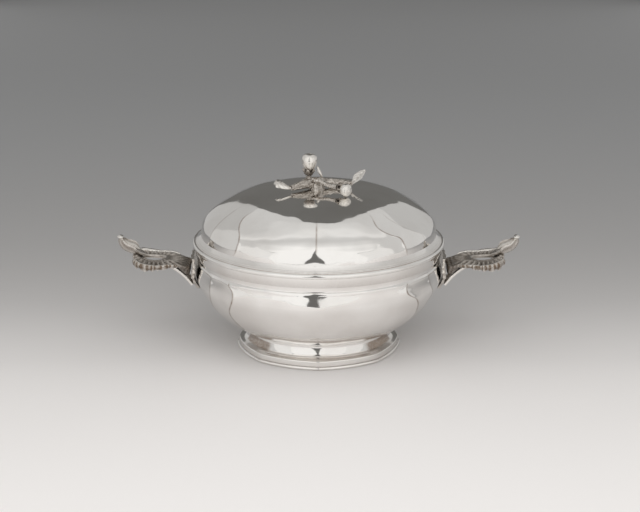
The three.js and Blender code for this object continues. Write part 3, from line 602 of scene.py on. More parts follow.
def lid_shell(sizes):
    """The lid's dome."""
    radius, spring, crown = sizes.dome_radius, sizes.spring, sizes.crown
    low, hole, sheet = sizes.dome_foot, sizes.hole, sizes.sheet
    points = [Vector((share * radius, lerp(spring, crown, rise))) for share, rise in DOME_OUTLINE]
    curve = [tuple(on_curve(points, (i / 84) ** 0.6)) for i in range(85)]
    outside = [(radius, low), (radius, lerp(low, spring, 0.5)), *curve, (0.08 * radius, crown - 0.05),
               (hole, crown)]
    inner = [(radius - sheet, low), *inside_of(outside, sheet)[1:-1], (hole, crown - sheet)]
    mesh = turned([*outside, *reversed(inner)])

    def depth(z):
        rise = (z - low) / (crown - low)
        return sizes.panel_depth * smoothstep(z, 87, 94) * (1 - smoothstep(rise, 0.6, 0.95))

    def crease(z):
        return sizes.crease * smoothstep(z, 82, 90) * (1 - smoothstep(z, 110, 114))

    panelled(mesh, LID, depth, crease)
    # Darker over the dome's lowest 3 mm: painted shade where it meets the flange.
    set_tarnish_and_shade(mesh, lambda co: 0.12 * smoothstep(-co.z, -low - 3, -low))
    return mesh


def humps(rows, place, width):
    """The sum of soft humps from rows of (place, height)."""
    return sum(height * hump(place, middle, width) for middle, height in rows)


class ECUELLE_OT_lid(bpy.types.Operator):
    """Add the panelled dome, the lid's moulded edge and the ring that holds it in the bowl"""
    bl_idname = "ecuelle.add_lid"
    bl_label = "Lid"

    def execute(self, context):
        sizes = in_millimetres(context.scene.ecuelle_lid)
        add_piece("lid_shell", lid_shell(sizes), "lid", ["lid_dome"], "polished_silver")
        inner, low, top = sizes.flange_inner, sizes.edge_foot, sizes.flange_top
        edge, height, dome = sizes.edge_radius, sizes.edge_height, sizes.dome_radius
        outer, shelf = edge - sizes.edge_wire, low + height
        slope = []
        for i in range(49):
            t = i / 48
            sunk = 0.7 * (0.1 * math.sin(0.5 * TURN * t) + humps(FLANGE_GROOVES, t, 0.035))
            slope.append((lerp(outer - 0.15, dome - 0.05, t) - sunk, lerp(shelf + 0.1, top, t) - sunk))
        moulding = turned([
            (inner, low), (outer + 0.1, low), (outer + 0.1, shelf - 0.2), *slope, (inner, top)])

        # Darker down the slope towards its outer foot: partly tarnish, partly painted shade for the
        # dimmer reflection there; FLANGE_LINES add tarnish in the grooves.
        def lines(co):
            t = (co.z - shelf - 0.1) / (top + 0.2 - shelf)
            return 0.02 + 0.16 * (1 - clamp(t)) + humps(FLANGE_LINES, t, 0.04)

        set_tarnish_and_shade(moulding, lines)
        add_piece("lid_edge_moulding", moulding, "lid", ["lid_flange"], "polished_silver")

        half = 0.5 * height
        bulge = [(edge - 1.6 + 1.6 * max(math.cos(t), 0), low + half + half * math.sin(t))
                 for t in (math.pi * (i / 20 - 0.5) for i in range(21))]
        wire = turned([(outer, low), *bulge, (outer, shelf)])
        set_tarnish_and_shade(wire, lambda co: 0.02)
        add_piece("lid_edge_wire", wire, "lid", ["lid_flange_wire"], "polished_silver")

        ring_out, ring_top = inner + 1.0, low - 0.3
        ring_foot = ring_top - sizes.ring_depth
        ring = turned([
            (ring_out - 1, ring_foot), (ring_out - 0.4, ring_foot), (ring_out, ring_foot + 1),
            (ring_out, ring_top), (ring_out - 1, ring_top)], steps=180)
        add_piece("lid_locating_ring", ring, "lid", ["lid_bezel"], "polished_silver")
        return {"FINISHED"}


class HandleSizes(bpy.types.PropertyGroup):
    start: length("Start", "Distance from the middle at which the ear starts", 91.4)
    reach: length("Reach", "Distance from the middle to the handle's tip", 143.6)
    height: length("Height", "Height of the ear's flat part", 63.5)
    ear_sheet: length("Ear thickness", "Thickness of the ear", 3)
    ear_half_width: length("Ear half width", "Half of the ear's greatest width", 17)
    window_length: length("Window length", "Length of the opening in the ear", 15)
    window_width: length("Window width", "Width of the opening in the ear", 12.5)
    border: length("Border", "Radius of the rolled border", 1.7)
    tip_height: length("Tip height", "Height of the curled tip", 81.6)
    tip_half_width: length("Tip half width", "Half of the tip leaf's greatest width", 7.2)
    strap_half_width: length("Strap half width", "Half of the strap's width", 6.5)
    root_half_width: length("Root half width", "Half of the root leaf's width", 19)
    root_length: length("Root length", "Length of the root leaf down the bowl", 25.4)


STRAP_DROP = 17  # how far under the ear the strap leaves the bowl
EAR_OUTLINE = ((0, 0.8), (0.18, 0.7), (0.4, 0.86), (0.6, 1), (0.8, 0.97), (0.92, 0.72), (1, 0.42))


class Handle:
    """The lines that the pieces of a handle follow, for a handle along +X."""

    def __init__(self, sizes):
        self.sizes = sizes
        rise = sizes.tip_height - sizes.height
        self.spine = [Vector((self.x(share), 0, sizes.height + lift)) for share, lift in (
            (0, -3), (0.12, -1.41), (0.26, 0.02 * rise), (0.45, 0), (0.62, 0.055 * rise),
            (0.78, 0.23 * rise))]

    def x(self, share):
        """The x at a share of the way from the ear's start to the tip."""
        return self.sizes.start + share * (self.sizes.reach - self.sizes.start)

    def half_width(self, along):
        """Half of the ear's width at a share of the spine."""
        return self.sizes.ear_half_width * between(EAR_OUTLINE, along)

    def along_at(self, x):
        """How far along the spine an x lies."""
        low, high = 0.0, 1.0
        for _ in range(18):
            middle = 0.5 * (low + high)
            if on_curve(self.spine, middle).x < x:
                low = middle
            else:
                high = middle
        return low

    def ear_edge(self, angle):
        """Distance from the window's middle to the ear's edge in a direction."""
        reach = 5.0
        while True:
            x, y = self.x(0.5) + reach * math.cos(angle), abs(reach * math.sin(angle))
            beyond = not self.sizes.start <= x <= self.spine[-1].x
            if beyond or y > self.half_width(self.along_at(x)):
                return reach
            reach += 0.15


def ear(handle):
    """The flat ear with its window: ribs fan out from the window to a scalloped edge."""
    sizes, middle, steps = handle.sizes, handle.x(0.5), 216
    half_length, half_width = 0.5 * sizes.window_length, 0.5 * sizes.window_width
    edges = [handle.ear_edge(TURN * i / steps) for i in range(steps)]
    edges = [sum(edges[(i + k) % steps] for k in (-2, -1, 0, 1, 2)) / 5 for i in range(steps)]
    spine_rows = [(point.x, point.z) for point in (on_curve(handle.spine, i / 24) for i in range(25))]

    def place(u, v):
        i = round(u * steps) % steps
        angle = TURN * i / steps
        inner = Vector((half_length * math.cos(angle), half_width * math.sin(angle)))
        rib = math.cos(27 * angle)
        outer = Vector((math.cos(angle), math.sin(angle))) * (edges[i] - 0.5 + 0.5 * rib)
        turn = TURN * v
        share = 0.5 - 0.5 * math.cos(turn)
        flat = inner.lerp(outer, share)
        x, y = middle + flat.x, flat.y
        face = squared_sine(turn, 0.45)
        lift = 0.5 * sizes.ear_sheet * face
        root = 1 - smoothstep(x, handle.x(0.0), handle.x(0.3))
        fan = smoothstep(share, 0.12, 0.5)
        tarnish_and_shade = 0.35 + 0.45 * (0.5 - 0.5 * rib) * fan + 0.35 * hump(share, 0.25, 0.1)
        if face > 0:
            groove = fan * 0.8 * (rib - 1) * (1 - 0.6 * root)
            groove += 0.7 * hump(share, 0.08, 0.07) - 0.5 * hump(share, 0.27, 0.09)
            groove += 0.9 * hump(share, 0.62, 0.1) * (1 - root)
            lift += groove * face
        else:
            lift -= 8.5 * root * root * (1 - smoothstep(abs(y), 6, 12.5)) * -face
            tarnish_and_shade = max(tarnish_and_shade, 0.8 * root)
        # Near the root, the underside (above) and the hatched matting are darkened: partly tarnish in
        # the matting, partly painted shade where the root sits between ear and bowl.
        hatch = 0.5 + 0.5 * math.sin(2.6 * x + 1.1 * y)
        tarnish_and_shade = lerp(tarnish_and_shade, 0.62 + 0.38 * hatch, root)
        return Vector((x, y, between(spine_rows, x) + lift + 0.25 * root * hatch * face)), tarnish_and_shade

    return skin(steps, 34, place)


def rolled_border(handle, side):
    """The scalloped frill that hangs beside one edge of the ear."""
    radius, shells, points = handle.sizes.border, 6, []
    for along in (0.28, 0.36, 0.44, 0.52, 0.6, 0.68, 0.76, 0.84, 0.9, 0.94):
        here, ahead, behind = (on_curve(handle.spine, along + step) for step in (0, 0.03, -0.03))
        heading = Vector((ahead.x - behind.x,
                          handle.half_width(along + 0.03) - handle.half_width(along - 0.03)))
        outward = Vector((-heading.y, heading.x)).normalized() * (0.3 + radius)
        points.append(Vector((
            here.x + outward.x, side * (handle.half_width(along) + outward.y), here.z)))
    thickness = ((0, 0.3), (0.12, 0.5), (0.3, 0.68), (0.5, 0.95), (0.75, 1.2), (0.92, 1.1), (1, 0.5))

    def place(u, v):
        middle, across, up = frame_on(points, u, Z)
        angle = TURN * v
        low, outward = clamp(-math.sin(angle)), clamp(-side * math.cos(angle))
        uneven = noise.noise(Vector((9 * u, 3.1 * side, 0.5)))
        size = radius * between(thickness, u) * (1 + 0.35 * uneven)
        bead = (0.5 + 0.5 * math.cos(TURN * (u * shells + 0.5 * uneven))) ** 0.8
        rib = 0.5 + 0.5 * math.cos(TURN * (u * shells * 2 + 0.9 * uneven))
        wide = size * (0.9 + 0.1 * rib * outward - 0.3 * (1 - bead) * low)
        tall = size * lerp(1.0, 1.1 + 0.8 * bead, low)
        # Painted shade on the outward face and painted highlights under the beads, with tarnish between
        # the beads and ribs.
        tarnish_and_shade = (0.22 + 0.6 * outward * (1 - rib) + 0.25 * outward + 0.5 * (1 - bead) * low
                  - 0.6 * bead * low ** 3)
        out, rise = wide * math.cos(angle), tall * math.sin(angle) - 0.4 * low
        return middle + out * across + rise * up, tarnish_and_shade

    return skin(198, 32, place)


def ribbon(points, along, around, power, section):
    """A closed strip along a curve in the plane y = 0.

    section(share along, side, face) gives half its width, its lift over the curve and how dark it is
    made, by tarnish and painted shade.
    """
    def place(u, v):
        middle, heading = on_curve(points, u), heading_on(points, u)
        side = math.cos(TURN * v)
        wide, lift, tarnish_and_shade = section(u, side, squared_sine(TURN * v, power))
        up = Vector((-heading.z, 0, heading.x))
        return middle + Vector((0, side * wide, 0)) + up * lift, tarnish_and_shade

    return skin(along, around, place)


def tip_leaf(handle):
    """The fluted leaf that leaves the ear and curls up into the tip."""
    sizes, sheet = handle.sizes, 3.0
    over = 0.5 * (sizes.ear_sheet + sheet) + 0.1
    top, tip = sizes.reach - 0.96 * sheet, sizes.tip_height
    end = on_curve(handle.spine, 1)
    points = [on_curve(handle.spine, along) + Vector((0, 0, over + rise * sheet))
              for along, rise in ((0.8, 0.04), (0.9, 0.07), (1, 0.2))]
    points += [Vector((lerp(end.x, top, out), 0, lerp(end.z + over, tip, rise)))
               for out, rise in ((0.64, 0.3), (0.94, 0.64), (1, 1))]
    outline = ((0, 0.35), (0.25, 0.9), (0.5, 1), (0.78, 0.6), (0.87, 0.36), (0.94, 0.44), (1, 0.2))
    thickness = ((0, 0.6), (0.4, 1.1), (0.8, 0.9), (0.88, 0.75), (0.95, 1.45), (1, 0.7))

    def section(u, side, face):
        wide = sizes.tip_half_width * between(outline, u)
        free = smoothstep(u, 0.1, 0.45)
        curl = 0.7 * wide * side ** 2 * free * (1 - 0.8 * smoothstep(u, 0.85, 1))
        flute = math.cos(3.5 * math.pi * side)
        ribs = 0.5 * flute * smoothstep(u, 0.05, 0.3) * (1 - smoothstep(u, 0.8, 0.92))
        thick = 0.5 * sheet * between(thickness, u)
        lift = face * thick + (ribs if face > 0 else -ribs) * abs(face) + curl - 0.22 * wide * free
        tarnish_and_shade = (0.3 + 0.5 * (0.5 - 0.5 * flute)) * (1 - smoothstep(u, 0.82, 0.9))
        return wide, lift, tarnish_and_shade + 0.35 * hump(u, 0.86, 0.03) - 0.35 * abs(side) ** 4

    return ribbon(points, 96, 56, 0.6, section)


def strap(handle, belly):
    """The rolled strap from the bowl's belly to the ear's underside, grooved along its middle."""
    sizes, sheet = handle.sizes, 2.4
    under = sizes.height - 0.5 * sizes.ear_sheet - 0.3 - 0.5 * sheet
    start, low, end = belly + 4.1, sizes.height - STRAP_DROP, handle.x(0.3)
    points = [Vector((x, 0, z)) for x, z in (
        (start, low), (lerp(start, end, 0.3), lerp(low, under, 0.42)),
        (lerp(start, end, 0.68), lerp(low, under, 0.8)), (end, under),
        (handle.x(0.4), under - 0.33 * sheet), (handle.x(0.46), under - 1.4 * sheet))]
    outline = ((0, 1.1), (0.4, 0.95), (0.8, 1.2), (1, 0.9))

    def section(u, side, face):
        rolled = 1.1 * abs(side) ** 4 - 0.7 * hump(side, 0, 0.3)
        lift = face * 0.42 * sheet + rolled * (face if face < 0 else 0.4)
        # Painted shade on the upper face, which lies under the ear, and painted highlights on the rolled
        # edges; darker along the middle groove.
        tarnish_and_shade = 0.15 + 0.8 * hump(side, 0, 0.4) + (0.45 if face > 0 else 0)
        return sizes.strap_half_width * between(outline, u), lift, tarnish_and_shade - 0.7 * abs(side) ** 6

    return ribbon(points, 72, 44, 0.5, section)


def root_leaf(handle, bowl_sizes):
    """The chased leaf that lies on the bowl's side under the ear."""
    top, tall = bowl_sizes.mouth_height - 7.1, handle.sizes.root_length
    outline = ((0, 0.2), (0.3, 0.55), (0.7, 1), (1, 0.86))

    def place(u, v):
        side, face = math.cos(TURN * v), squared_sine(TURN * v, 0.5)
        z = top - tall * (1 - u)
        scallop = 1 - 0.09 * (0.5 - 0.5 * math.cos(TURN * u * 5))
        y = side * handle.sizes.root_half_width * between(outline, u) * scallop
        fan = math.cos(9 * math.atan2(y, top + 6 - z))
        out, tarnish_and_shade = 1.1 + 0.7 * face, 0.04
        if face > 0:
            lobe = (0.5 + 0.5 * math.cos(TURN * u * 5)) * hump(abs(side), 0.72, 0.2)
            out += (0.2 * fan + 0.9 * lobe + 0.6 * hump(abs(side), 0.3, 0.12)
                    + 1.2 * hump(abs(side), 0.93, 0.12))
            tarnish_and_shade = 0.06 - 0.06 * fan + 0.2 * hump(abs(side), 0.5, 0.1)
        radius = belly_radius(bowl_sizes, min(z, bowl_sizes.belly_height)) + out
        return Vector((math.sqrt(max(radius ** 2 - y ** 2, 0)), y, z)), tarnish_and_shade

    return skin(90, 96, place)


class ECUELLE_OT_handles(bpy.types.Operator):
    """Add the two cast handles"""
    bl_idname = "ecuelle.add_handles"
    bl_label = "Handles"

    def execute(self, context):
        handle = Handle(in_millimetres(context.scene.ecuelle_handles))
        bowl_sizes = in_millimetres(context.scene.ecuelle_bowl)
        belly = belly_radius(bowl_sizes, handle.sizes.height - STRAP_DROP)
        for name, turn, front in (("right", 0, -1), ("left", math.pi, 1)):
            for part, mesh, slot in (
                    ("ear", ear(handle), "chased_silver"),
                    ("root_leaf", root_leaf(handle, bowl_sizes), "chased_silver"),
                    ("front_border", rolled_border(handle, front), "cast_silver"),
                    ("back_border", rolled_border(handle, -front), "cast_silver"),
                    ("tip_leaf", tip_leaf(handle), "cast_silver"),
                    ("strap", strap(handle, belly), "cast_silver")):
                bmesh.ops.rotate(
                    mesh, cent=(0, 0, 0), matrix=Matrix.Rotation(turn, 3, "Z"), verts=mesh.verts)
                add_piece(f"{name}_{part}", mesh, "bowl", [f"{name}_handle_{part}"], slot, sharp=60)
        return {"FINISHED"}


class FinialSizes(bpy.types.PropertyGroup):
    lie: length("Lie", "Height of the branch's middle line", 119.7)
    reach: length("Reach", "From the middle to the branch's far end", 23)
    branch: length("Branch radius", "Radius of the branch", 2.5)
    twig: length("Twig radius", "Radius of the twig that carries the small bud", 1.7)
    bud_radius: length("Bud radius", "Radius of the upright bud", 5.5)
    bud_height: length("Bud height", "Height of the upright bud", 14.3)
    side_radius: length("Side bud radius", "Radius of the small bud", 4.5)
    side_height: length("Side bud length", "Length of the small bud", 9.6)
    leaf_half_width: length("Leaf half width", "Half of a leaf's width", 4.2)
    leaf_length: length("Leaf length", "Length of a leaf", 12)
    tendril_height: length("Tendril height", "Height of the tendril", 13)


def rod(points, radius, along, around, bark, taper):
    """A round rod along a smooth curve, knotted and furrowed like bark."""
    upright = Y if abs(heading_on(points, 0.5).z) > 0.85 else Z

    def place(u, v):
        middle, across, up = frame_on(points, u, upright)
        angle = TURN * v
        outward = math.cos(angle) * across + math.sin(angle) * up
        thick = radius * between(taper, u)
        spot = middle + thick * outward
        knot = 1.3 * noise.noise(spot * 0.3)
        furrow = (math.sin(7 * angle + 5 * noise.noise(spot * 0.25)) * 0.45
                  + 1.4 * noise.noise(spot * 1.1))
        tarnish_and_shade = 0.42 - 3.5 * bark * (furrow + 0.6 * knot)
        return middle + thick * (1 + bark * (knot + furrow)) * outward, tarnish_and_shade

    return skin(along, around, place)


def round_about(axis):
    """A function that gives the direction away from an axis at an angle."""
    side = axis.orthogonal().normalized()
    other = axis.cross(side)
    return lambda angle: math.cos(angle) * side + math.sin(angle) * other


def bud(base, axis, radius, height):
    """A closed bud of overlapping petals with a small point on top."""
    outward = round_about(axis)
    rows = ((0, 0), (0.03, 0.24), (0.12, 0.46), (0.3, 0.74), (0.48, 0.93), (0.64, 1), (0.8, 0.93),
            (0.89, 0.74), (0.945, 0.46), (0.97, 0.16), (0.988, 0.13), (1, 0))

    def place(u, v):
        angle = TURN * v
        fold = abs(math.cos(1.5 * (angle + 1.1 * u)))
        swollen = 1 + 0.03 * fold * math.sin(math.pi * min(u / 0.9, 1))
        r = radius * max(between(rows, u), 0) * swollen
        tarnish_and_shade = 0.02 + 0.12 * hump(fold, 0, 0.1) + 0.45 * smoothstep(-u, -0.42, -0.12)
        return base + axis * (u * height) + r * outward(angle), tarnish_and_shade

    return skin(60, 48, place)


def calyx(base, axis, radius, cup):
    """A cup of five pointed sepals, for a bud to sit in."""
    outward = round_about(axis)
    outer = ((0, 0), (0.06, 0.3), (0.5, 0.5), (1, 0.66))

    def place(u, v):
        angle = TURN * v
        sepal = 0.5 + 0.5 * math.cos(5 * angle)
        rim = 0.62 + 0.7 * sepal
        if u < 0.5:
            rise = 2 * u * rim
            r = between(outer, min(rise, 1)) * (1 + 0.08 * sepal)
        else:
            rise = lerp(rim, 0.36, 2 * u - 1)
            r = (between(outer, min(rise, 1)) - 0.1) * (1 - smoothstep(u, 0.8, 1))
        return (base + axis * (rise * cup) + 1.2 * radius * r * outward(angle),
                0.75 - 0.5 * sepal * smoothstep(u, 0.2, 0.5))

    return skin(36, 60, place)


def leaf(root, size, steps, half_width, level):
    """A pointed leaf with a sunken middle vein and raised edges.

    Its middle line goes from the root through places at steps from it, as shares of the size.
    The level direction lies across it.
    """
    points = [root, *(root + Vector(step) * size for step in steps)]
    outline = ((0, 0.3), (0.25, 0.62), (0.55, 1), (0.82, 0.78), (0.95, 0.4), (1, 0.06))
    sheet = 1.5

    def place(u, v):
        middle, heading = on_curve(points, u), heading_on(points, u)
        side = (level - level.dot(heading) * heading).normalized()
        across, face = math.cos(TURN * v), math.sin(TURN * v)
        wide = half_width * between(outline, u)
        veins = math.cos(9 * math.pi * (u + 0.35 * abs(across)))
        vein = -0.4 * hump(across, 0, 0.14) + 0.14 * veins
        thick = 0.5 * sheet * (1 - 0.35 * across ** 2)
        lift = face * thick + 0.25 * wide * across ** 2 + (vein * face if face > 0 else 0)
        tarnish_and_shade = (0.12 + 0.5 * hump(across, 0, 0.2) * (1 - u) - 0.1 * veins
                  + 0.3 * smoothstep(-u, -0.3, 0))
        return middle + side * (across * wide) + heading.cross(side) * lift, tarnish_and_shade

    return skin(48, 36, place)


class ECUELLE_OT_finial(bpy.types.Operator):
    """Add the cast twig with its buds, leaves and fixing"""
    bl_idname = "ecuelle.add_finial"
    bl_label = "Finial"

    def execute(self, context):
        sizes = in_millimetres(context.scene.ecuelle_finial)
        reach, lie, radius = sizes.reach, sizes.lie, sizes.branch

        def at(x, y, rise):
            return Vector((x, y, rise)) * reach + Z * lie

        def add(name, mesh, slot="cast_silver"):
            add_piece(name, mesh, "lid", [f"finial_{name}"], slot, sharp=60)

        def add_bud(name, foot, axis, radius, height):
            cup = 0.7 * radius
            add(f"{name}_calyx", calyx(foot, axis, radius, cup), "chased_silver")
            add(name, bud(foot + axis * (0.36 * cup + 0.48), axis, radius, height))

        add("branch", rod([
            at(-0.83, -0.37, -0.06), at(-0.54, -0.22, -0.01), at(-0.26, -0.05, 0.02),
            at(0.09, 0.07, 0.02), at(0.41, 0.2, -0.02), at(0.76, 0.21, -0.04), at(1, 0.07, -0.05)],
            radius, 170, 36, 0.1,
            ((0, 0.7), (0.1, 1), (0.3, 1.45), (0.42, 1.5), (0.6, 1.1), (0.9, 0.85), (1, 0.75))),
            "chased_silver")
        add("boss", rod(
            [Vector((-1, -1, 115.5)), Vector((-1, -1.5, 117.7)), at(-0.08, -0.02, 0)],
            3 * radius, 30, 48, 0.07, ((0, 0.8), (0.4, 0.62), (1, 0.5))), "chased_silver")
        low = at(-0.28, -0.05, 0.02) + Z * 0.9 * radius
        high = low + 3.0 * Vector((-0.2, 0.13, 1))
        add("stalk", rod([low, low.lerp(high, 0.5), high], 0.85 * radius, 24, 30, 0.08,
                         ((0, 1.15), (0.5, 0.9), (1, 1.05))), "chased_silver")
        axis = Vector((0.06, 0.05, 1))
        add_bud("bud", high + 0.1 * axis, axis.normalized(), sizes.bud_radius, sizes.bud_height)

        twig_end = at(0.57, -0.67, 0.04)
        add("twig", rod([
            at(-0.16, -0.15, 0.15), at(0.04, -0.29, 0.14), at(0.24, -0.45, 0.07),
            at(0.42, -0.57, 0.05), twig_end], sizes.twig, 90, 26, 0.09,
            ((0, 1.1), (0.5, 0.9), (0.85, 1), (1, 1.3))))
        axis = Vector((0.74, -0.62, -0.1)).normalized()
        add_bud("side_bud", twig_end + 0.2 * axis, axis, sizes.side_radius, sizes.side_height)

        level, half = Vector((0, 1, 0.55)), sizes.leaf_half_width
        add("left_leaf", leaf(
            at(-0.84, -0.38, -0.05), sizes.leaf_length,
            ((-0.28, -0.03, 0.1), (-0.6, 0.02, 0.24), (-0.86, 0.1, 0.3), (-0.98, 0.16, 0.16)),
            half, level))
        add("right_leaf", leaf(
            at(1.015, 0.04, -0.04), sizes.leaf_length,
            ((0.23, 0.06, 0.2), (0.52, 0.23, 0.46), (0.82, 0.34, 0.76)), half, level))
        add("tendril", leaf(
            at(0.11, 0.07, 0.02) + Z * (radius + 0.1), sizes.tendril_height,
            ((-0.05, 0.02, 0.2), (-0.17, 0.04, 0.45), (-0.28, 0.04, 0.66)),
            1.5, Vector((0.5, 0.4, -0.2))))
        for name in ("washer", "nut", "stud"):
            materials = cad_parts[f"finial_{name}"].data.materials
            materials.clear()
            materials.append(finish("polished_silver"))
        return {"FINISHED"}


class StageSizes(bpy.types.PropertyGroup):
    floor_front: bpy.props.FloatProperty(
        name="Floor front", description="Where the floor ends in front", default=-0.4, unit="LENGTH")
    floor_back: bpy.props.FloatProperty(
        name="Floor back", description="Where the floor ends at the back", default=1.9, unit="LENGTH")
    roof_height: length("Roof height", "Height of the large soft light overhead", 1250)
    roof_back: length("Roof back", "How far back the overhead light reaches", 400)
    camera_distance: length("Camera distance", "From the camera to the object", 1300)
    camera_rise: bpy.props.FloatProperty(
        name="Camera rise", description="Angle of the view above level", default=math.radians(16.6),
        unit="ROTATION")


# Places on the stage in metres, from the object's middle
FLOOR_WIDTH = 5.0
FLOOR_SHADE_TONES = (  # distance behind the object, grey, which darkens towards the back as painted shade
    (-0.4, 0.93), (-0.245, 0.93), (-0.113, 0.86), (-0.036, 0.8), (0.10, 0.52), (0.27, 0.425),
    (0.48, 0.4), (0.755, 0.395), (1.13, 0.41), (1.6, 0.53), (1.9, 0.59))
WALL_FRONT = -1.3
WALLS = ((1.1, -1.1), (1.05, -0.3), (1.05, 0.8), (0.53, 1.6))  # right corners, from the front
WALL_FOOT = -0.4  # height of the bottom of the walls before the floor's front edge
SIDE_WALLS = (("flank", WALL_FOOT, 0.85), ("side", 0, 0.62), ("rear", 0, 0.5))  # foot, level
FRONT_GAP = (  # height, and the edges of the gap that the camera looks through
    (-0.125, -0.32, 0.14), (0.02, -0.3, 0.13), (0.2, -0.21, 0.09), (0.5, -0.15, 0.06),
    (1.25, -0.12, 0.0))
ROOF_HALF_WIDTH = 1.05
ROOF_LEVELS = (  # distance behind the object's middle, and the light's level there
    (-0.62, 0.94), (-0.46, 0.82), (-0.3, 0.7), (-0.1, 0.6), (0, 0.63), (0.08, 0.8), (0.13, 0.8),
    (0.22, 0.7))
ROOF_END_LEVEL = 0.62  # at the roof's back edge
ROOF_GAP_END = -0.06  # where the front gap ends between the two front panels of the roof
REAR_GAP = 0.19  # half of the width of the gap between the two rear panels of the roof
REAR_LEVEL = 0.6
BRIGHT = 0.96  # level of the panels in front
LAMP_BEFORE, LAMP_OVER = 1.0, 0.75
AIM = Vector((0.001, 0, 0.066))


def staged(name, mesh, material):
    """An object of the floor or the lights, made in the scene."""
    obj = new_object(name, mesh, material)
    return obj


def floor_material(sizes):
    """A matt floor, palest in front and fading to grey at the back: the fade is painted shade, standing
    in for the light falling off.
    """
    material, tree = blank_material("pale_floor")
    place = add_node(tree, "ShaderNodeTexCoord").outputs["Object"]
    back = add_node(tree, "ShaderNodeSeparateXYZ", {0: place}).outputs["Y"]
    share = add_range(tree, back, sizes.floor_front, sizes.floor_back, 0.0, 1.0)
    ramp = add_node(tree, "ShaderNodeValToRGB", {"Fac": share})
    ramp.color_ramp.interpolation = "B_SPLINE"
    elements = ramp.color_ramp.elements
    while len(elements) < len(FLOOR_SHADE_TONES):
        elements.new(0.5)
    for element, (distance, grey) in zip(elements, FLOOR_SHADE_TONES):
        element.position = (distance - sizes.floor_front) / (sizes.floor_back - sizes.floor_front)
        warm = 1 - smoothstep(distance, -0.1, 0.9)
        element.color = (grey, lerp(1.01, 0.975, warm) * grey, lerp(1.03, 0.965, warm) * grey, 1)
    bump = add_bump(tree, add_noise(tree, place, 400.0, 3.0), 0.2 * MM, Strength=0.3)
    add_output(tree, add_node(tree, "ShaderNodeBsdfPrincipled", {
        "Base Color": ramp.outputs["Color"], "Roughness": 0.9, "Specular IOR Level": 0.1,
        "Normal": bump}))
    return material


def soft_light():
    """The light panels' material: white, as strong as each corner's level says."""
    if "soft_light" in bpy.data.materials:
        return bpy.data.materials["soft_light"]
    material, tree = blank_material("soft_light")
    level = add_node(tree, "ShaderNodeAttribute", attribute_name="level").outputs["Fac"]
    add_output(tree, add_node(tree, "ShaderNodeEmission", {
        "Color": (1.0, 0.99, 0.97, 1.0), "Strength": level}))
    return material


def panel(name, corners, near, far=None):
    """A flat light panel, seen in reflections but not by the camera, from one level to another."""
    mesh = bmesh.new()
    bmesh.ops.create_grid(mesh, x_segments=4, y_segments=4, size=0.5)
    layer = mesh.verts.layers.float.new("level")
    a, b, c, d = (Vector(corner) for corner in corners)
    for corner in mesh.verts:
        u, v = corner.co.x + 0.5, corner.co.y + 0.5
        corner.co = a.lerp(b, u).lerp(d.lerp(c, u), v)
        corner[layer] = near if far is None else lerp(near, far, v)
    staged(name, mesh, soft_light()).visible_camera = False


def wall(name, start, end, low, high, level):
    """An upright light panel between two places on the floor plan."""
    panel(name, ((*start, low), (*end, low), (*end, high), (*start, high)), level)


def add_floor(sizes):
    """The floor."""
    mesh = bmesh.new()
    bmesh.ops.create_grid(mesh, x_segments=1, y_segments=1, size=0.5)
    for corner in mesh.verts:
        back = lerp(sizes.floor_front, sizes.floor_back, corner.co.y + 0.5)
        corner.co = Vector((FLOOR_WIDTH * corner.co.x, back, 0))
    staged("floor", mesh, floor_material(sizes))


def add_room(sizes):
    """The walls and the roof of light round the object."""
    roof, roof_back, half = sizes.roof_height, sizes.roof_back, ROOF_HALF_WIDTH

    def overhead(name, places, *levels):
        panel(name, [(x, y, roof) for x, y in places], *levels)

    levels = (*ROOF_LEVELS, (roof_back, ROOF_END_LEVEL))
    start = levels[0][0]
    for i, ((near, first), (far, second)) in enumerate(zip(levels, levels[1:])):
        overhead(f"roof_{i + 1}", ((-half, near), (half, near), (half, far), (-half, far)),
                 first, second)
    for name, side, edge in (("right", 1, 2), ("left", -1, 1)):
        corners = [(side * x, y) for x, y in WALLS]
        front = corners[0]
        wall(f"{name}_low_front", (0, WALL_FRONT), front, WALL_FOOT, FRONT_GAP[0][0], BRIGHT)
        for i, (low, high) in enumerate(zip(FRONT_GAP, FRONT_GAP[1:])):
            panel(f"{name}_front_{i + 1}", (
                (low[edge], WALL_FRONT, low[0]), (*front, low[0]), (*front, high[0]),
                (high[edge], WALL_FRONT, high[0])), BRIGHT)
        for (part, foot, level), a, b in zip(SIDE_WALLS, corners, corners[1:]):
            wall(f"{name}_{part}", a, b, foot, roof, level)
        overhead(f"{name}_roof_front", (
            (FRONT_GAP[-1][edge], WALL_FRONT), (side * half, WALL_FRONT), (side * half, start),
            (ROOF_GAP_END, start)), BRIGHT)
        overhead(f"{name}_roof_back", (
            (side * REAR_GAP, roof_back), (side * half, roof_back), *corners[-2:]), REAR_LEVEL)


def add_fill(scene):
    """A lamp that lights the floor but isn't mirrored in the silver."""
    lamp = bpy.data.lights.new("floor_fill", "AREA")
    lamp.shape, lamp.size, lamp.energy = "DISK", 1.4, 5.0
    fill = bpy.data.objects.new("floor_fill", lamp)
    fill.location = (0, -LAMP_BEFORE, LAMP_OVER)
    fill.rotation_euler = (math.atan2(LAMP_BEFORE, LAMP_OVER), 0, 0)
    fill.visible_glossy = False
    scene.collection.objects.link(fill)


def add_camera(scene, sizes):
    """The camera, aimed at the object from in front and above."""
    data = bpy.data.cameras.new("camera")
    data.lens, data.sensor_width = 102.4, 36
    camera = bpy.data.objects.new("camera", data)
    rise = sizes.camera_rise
    camera.location = AIM + sizes.camera_distance * Vector((0, -math.cos(rise), math.sin(rise)))
    camera.rotation_euler = (math.pi / 2 - rise, 0, 0)
    scene.collection.objects.link(camera)
    scene.camera = camera


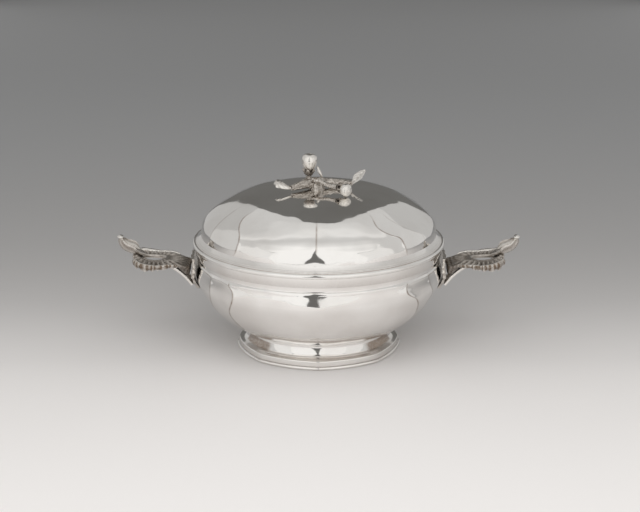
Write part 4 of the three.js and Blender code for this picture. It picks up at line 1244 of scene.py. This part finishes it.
class ECUELLE_OT_stage(bpy.types.Operator):
    """Add the floor, the soft lights and the camera"""
    bl_idname = "ecuelle.add_stage"
    bl_label = "Stage"

    def execute(self, context):
        scene = context.scene
        sizes = scene.ecuelle_stage
        add_floor(sizes)
        add_room(sizes)
        add_fill(scene)
        scene.world = bpy.data.worlds.new("room")
        scene.world.use_nodes = True
        background = scene.world.node_tree.nodes["Background"].inputs
        background["Color"].default_value = (0.15, 0.147, 0.14, 1)
        background["Strength"].default_value = 1.0
        add_camera(scene, sizes)
        scene.view_settings.view_transform = "Standard"
        return {"FINISHED"}


class ECUELLE_PT_panel(bpy.types.Panel):
    """Lists the steps that build the bowl"""
    bl_idname = "ECUELLE_PT_panel"
    bl_label = "Silver bowl"
    bl_space_type = "VIEW_3D"
    bl_region_type = "UI"
    bl_category = "Silver bowl"

    def draw(self, context):
        for operator in OPERATORS:
            self.layout.operator(operator.bl_idname)


SIZES = {
    "ecuelle_bowl": BowlSizes,
    "ecuelle_foot": FootSizes,
    "ecuelle_lid": LidSizes,
    "ecuelle_handles": HandleSizes,
    "ecuelle_finial": FinialSizes,
    "ecuelle_stage": StageSizes,
}
OPERATORS = (ECUELLE_OT_bowl, ECUELLE_OT_foot, ECUELLE_OT_lid, ECUELLE_OT_handles, ECUELLE_OT_finial,
             ECUELLE_OT_stage)


def register():
    for sizes in SIZES.values():
        bpy.utils.register_class(sizes)
    for name, sizes in SIZES.items():
        setattr(bpy.types.Scene, name, bpy.props.PointerProperty(type=sizes))
    for kind in (*OPERATORS, ECUELLE_PT_panel):
        bpy.utils.register_class(kind)


def unregister():
    for kind in (ECUELLE_PT_panel, *reversed(OPERATORS)):
        bpy.utils.unregister_class(kind)
    for name in SIZES:
        delattr(bpy.types.Scene, name)
    for sizes in reversed(SIZES.values()):
        bpy.utils.unregister_class(sizes)


def main():
    register()
    bpy.ops.ecuelle.add_bowl()
    bpy.ops.ecuelle.add_foot()
    bpy.ops.ecuelle.add_lid()
    bpy.ops.ecuelle.add_handles()
    bpy.ops.ecuelle.add_finial()
    bpy.ops.ecuelle.add_stage()
    bpy.context.view_layer.update()


if __name__ == "__main__":
    main()
